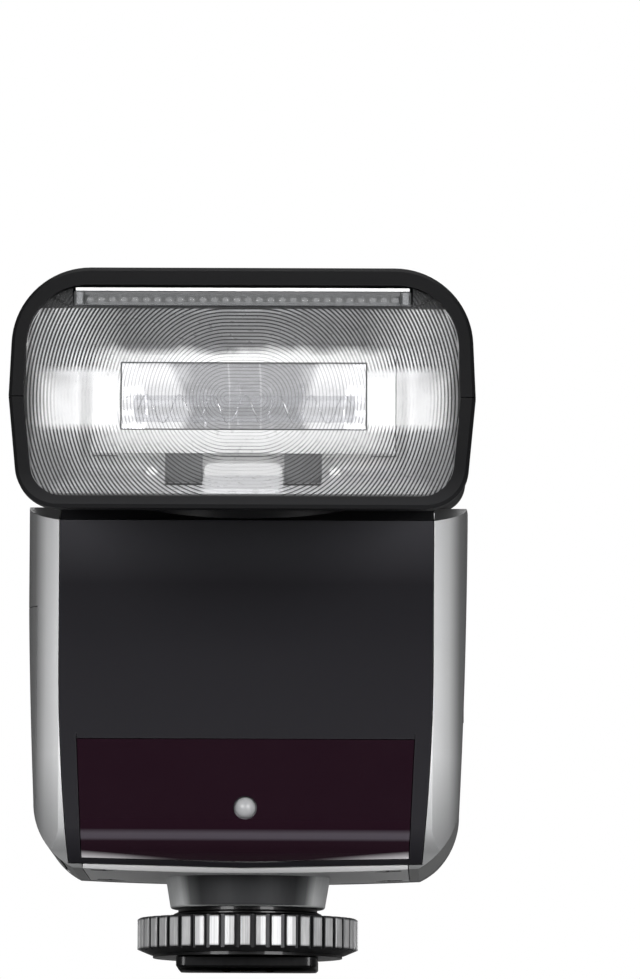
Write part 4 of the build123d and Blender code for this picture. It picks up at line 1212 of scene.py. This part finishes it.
def world():
    """Soft grey light, brighter from behind; the camera itself sees white."""
    studio = bpy.data.worlds.new("studio")
    scene.world = studio
    graph = Graph(studio)
    direction = graph.node("TexCoord").outputs["Generated"]
    y = graph.node("SeparateXYZ", {0: direction}).outputs["Y"]
    # from -1..1 to 0..1, front to rear
    depth = graph.node("Math", {0: y, 1: 0.5, 2: 0.5}, operation="MULTIPLY_ADD").outputs[0]
    strength = graph.ramp(depth, [(0.0, 0.03), (0.35, 0.05), (0.52, 0.16), (0.8, 0.22),
                                  (1.0, 0.16)])
    soft = graph.node("Background", {"Strength": strength}).outputs[0]
    white = graph.node("Background", {"Color": rgba(1.0), "Strength": 1.0}).outputs[0]
    camera_ray = graph.node("LightPath").outputs["Is Camera Ray"]
    output = graph.node("OutputWorld")
    graph.feed(output.inputs[0], graph.mix_shader(camera_ray, soft, white))


# name, place, target and size in metres, power in watts
LIGHTS = [
    ("softbox_left", (-0.62, -0.95, 0.04), (0, 0, 0.05), (0.45, 1.10), 22.0),
    ("softbox_right", (0.62, -0.95, 0.04), (0, 0, 0.05), (0.45, 1.10), 24.0),
    ("softbox_top", (0.0, -0.10, 0.90), (0, -0.02, 0.06), (0.7, 0.45), 6.0),
    ("fill_back", (0.25, 0.85, 0.80), (0, 0, 0.05), (0.8, 0.6), 7.0),
]


def area_light(name, place, target, size, power):
    light = bpy.data.lights.new(name, "AREA")
    light.shape = "RECTANGLE"
    light.size, light.size_y = size
    light.energy = power
    obj = bpy.data.objects.new(name, light)
    scene.collection.objects.link(obj)
    obj.location = place
    aim = Vector(target) - Vector(place)
    obj.rotation_euler = aim.to_track_quat("-Z", "Y").to_euler()


CAMERA_PLACE = (0.03125, -1.4, -0.0635)  # metres
CAMERA_LENS, SENSOR_WIDTH = 591.8625, 36.0
YAW, PITCH, ROLL = 0.01565, 0.0910, 0.005  # radians


def camera():
    """Long lens in front of the flash and a little below it, looking slightly up."""
    data = bpy.data.cameras.new("photo_view")
    obj = bpy.data.objects.new("photo_view", data)
    scene.collection.objects.link(obj)
    data.sensor_fit = "HORIZONTAL"
    data.sensor_width = SENSOR_WIDTH
    data.lens = CAMERA_LENS
    data.clip_start, data.clip_end = 0.05, 50.0
    cos_yaw, sin_yaw = math.cos(YAW), math.sin(YAW)
    cos_pitch = math.cos(PITCH)
    forward = Vector((-sin_yaw * cos_pitch, cos_yaw * cos_pitch, math.sin(PITCH)))
    right = Vector((cos_yaw, sin_yaw, 0))
    up = right.cross(forward)
    cos_roll, sin_roll = math.cos(ROLL), math.sin(ROLL)
    right, up = right * cos_roll + up * sin_roll, up * cos_roll - right * sin_roll
    turn = Matrix((right, up, -forward)).transposed().to_4x4()
    obj.matrix_world = Matrix.Translation(CAMERA_PLACE) @ turn
    scene.camera = obj


floor()
world()
for light in LIGHTS:
    area_light(*light)
camera()
scene.view_settings.view_transform = "Standard"
scene.view_settings.look = "None"
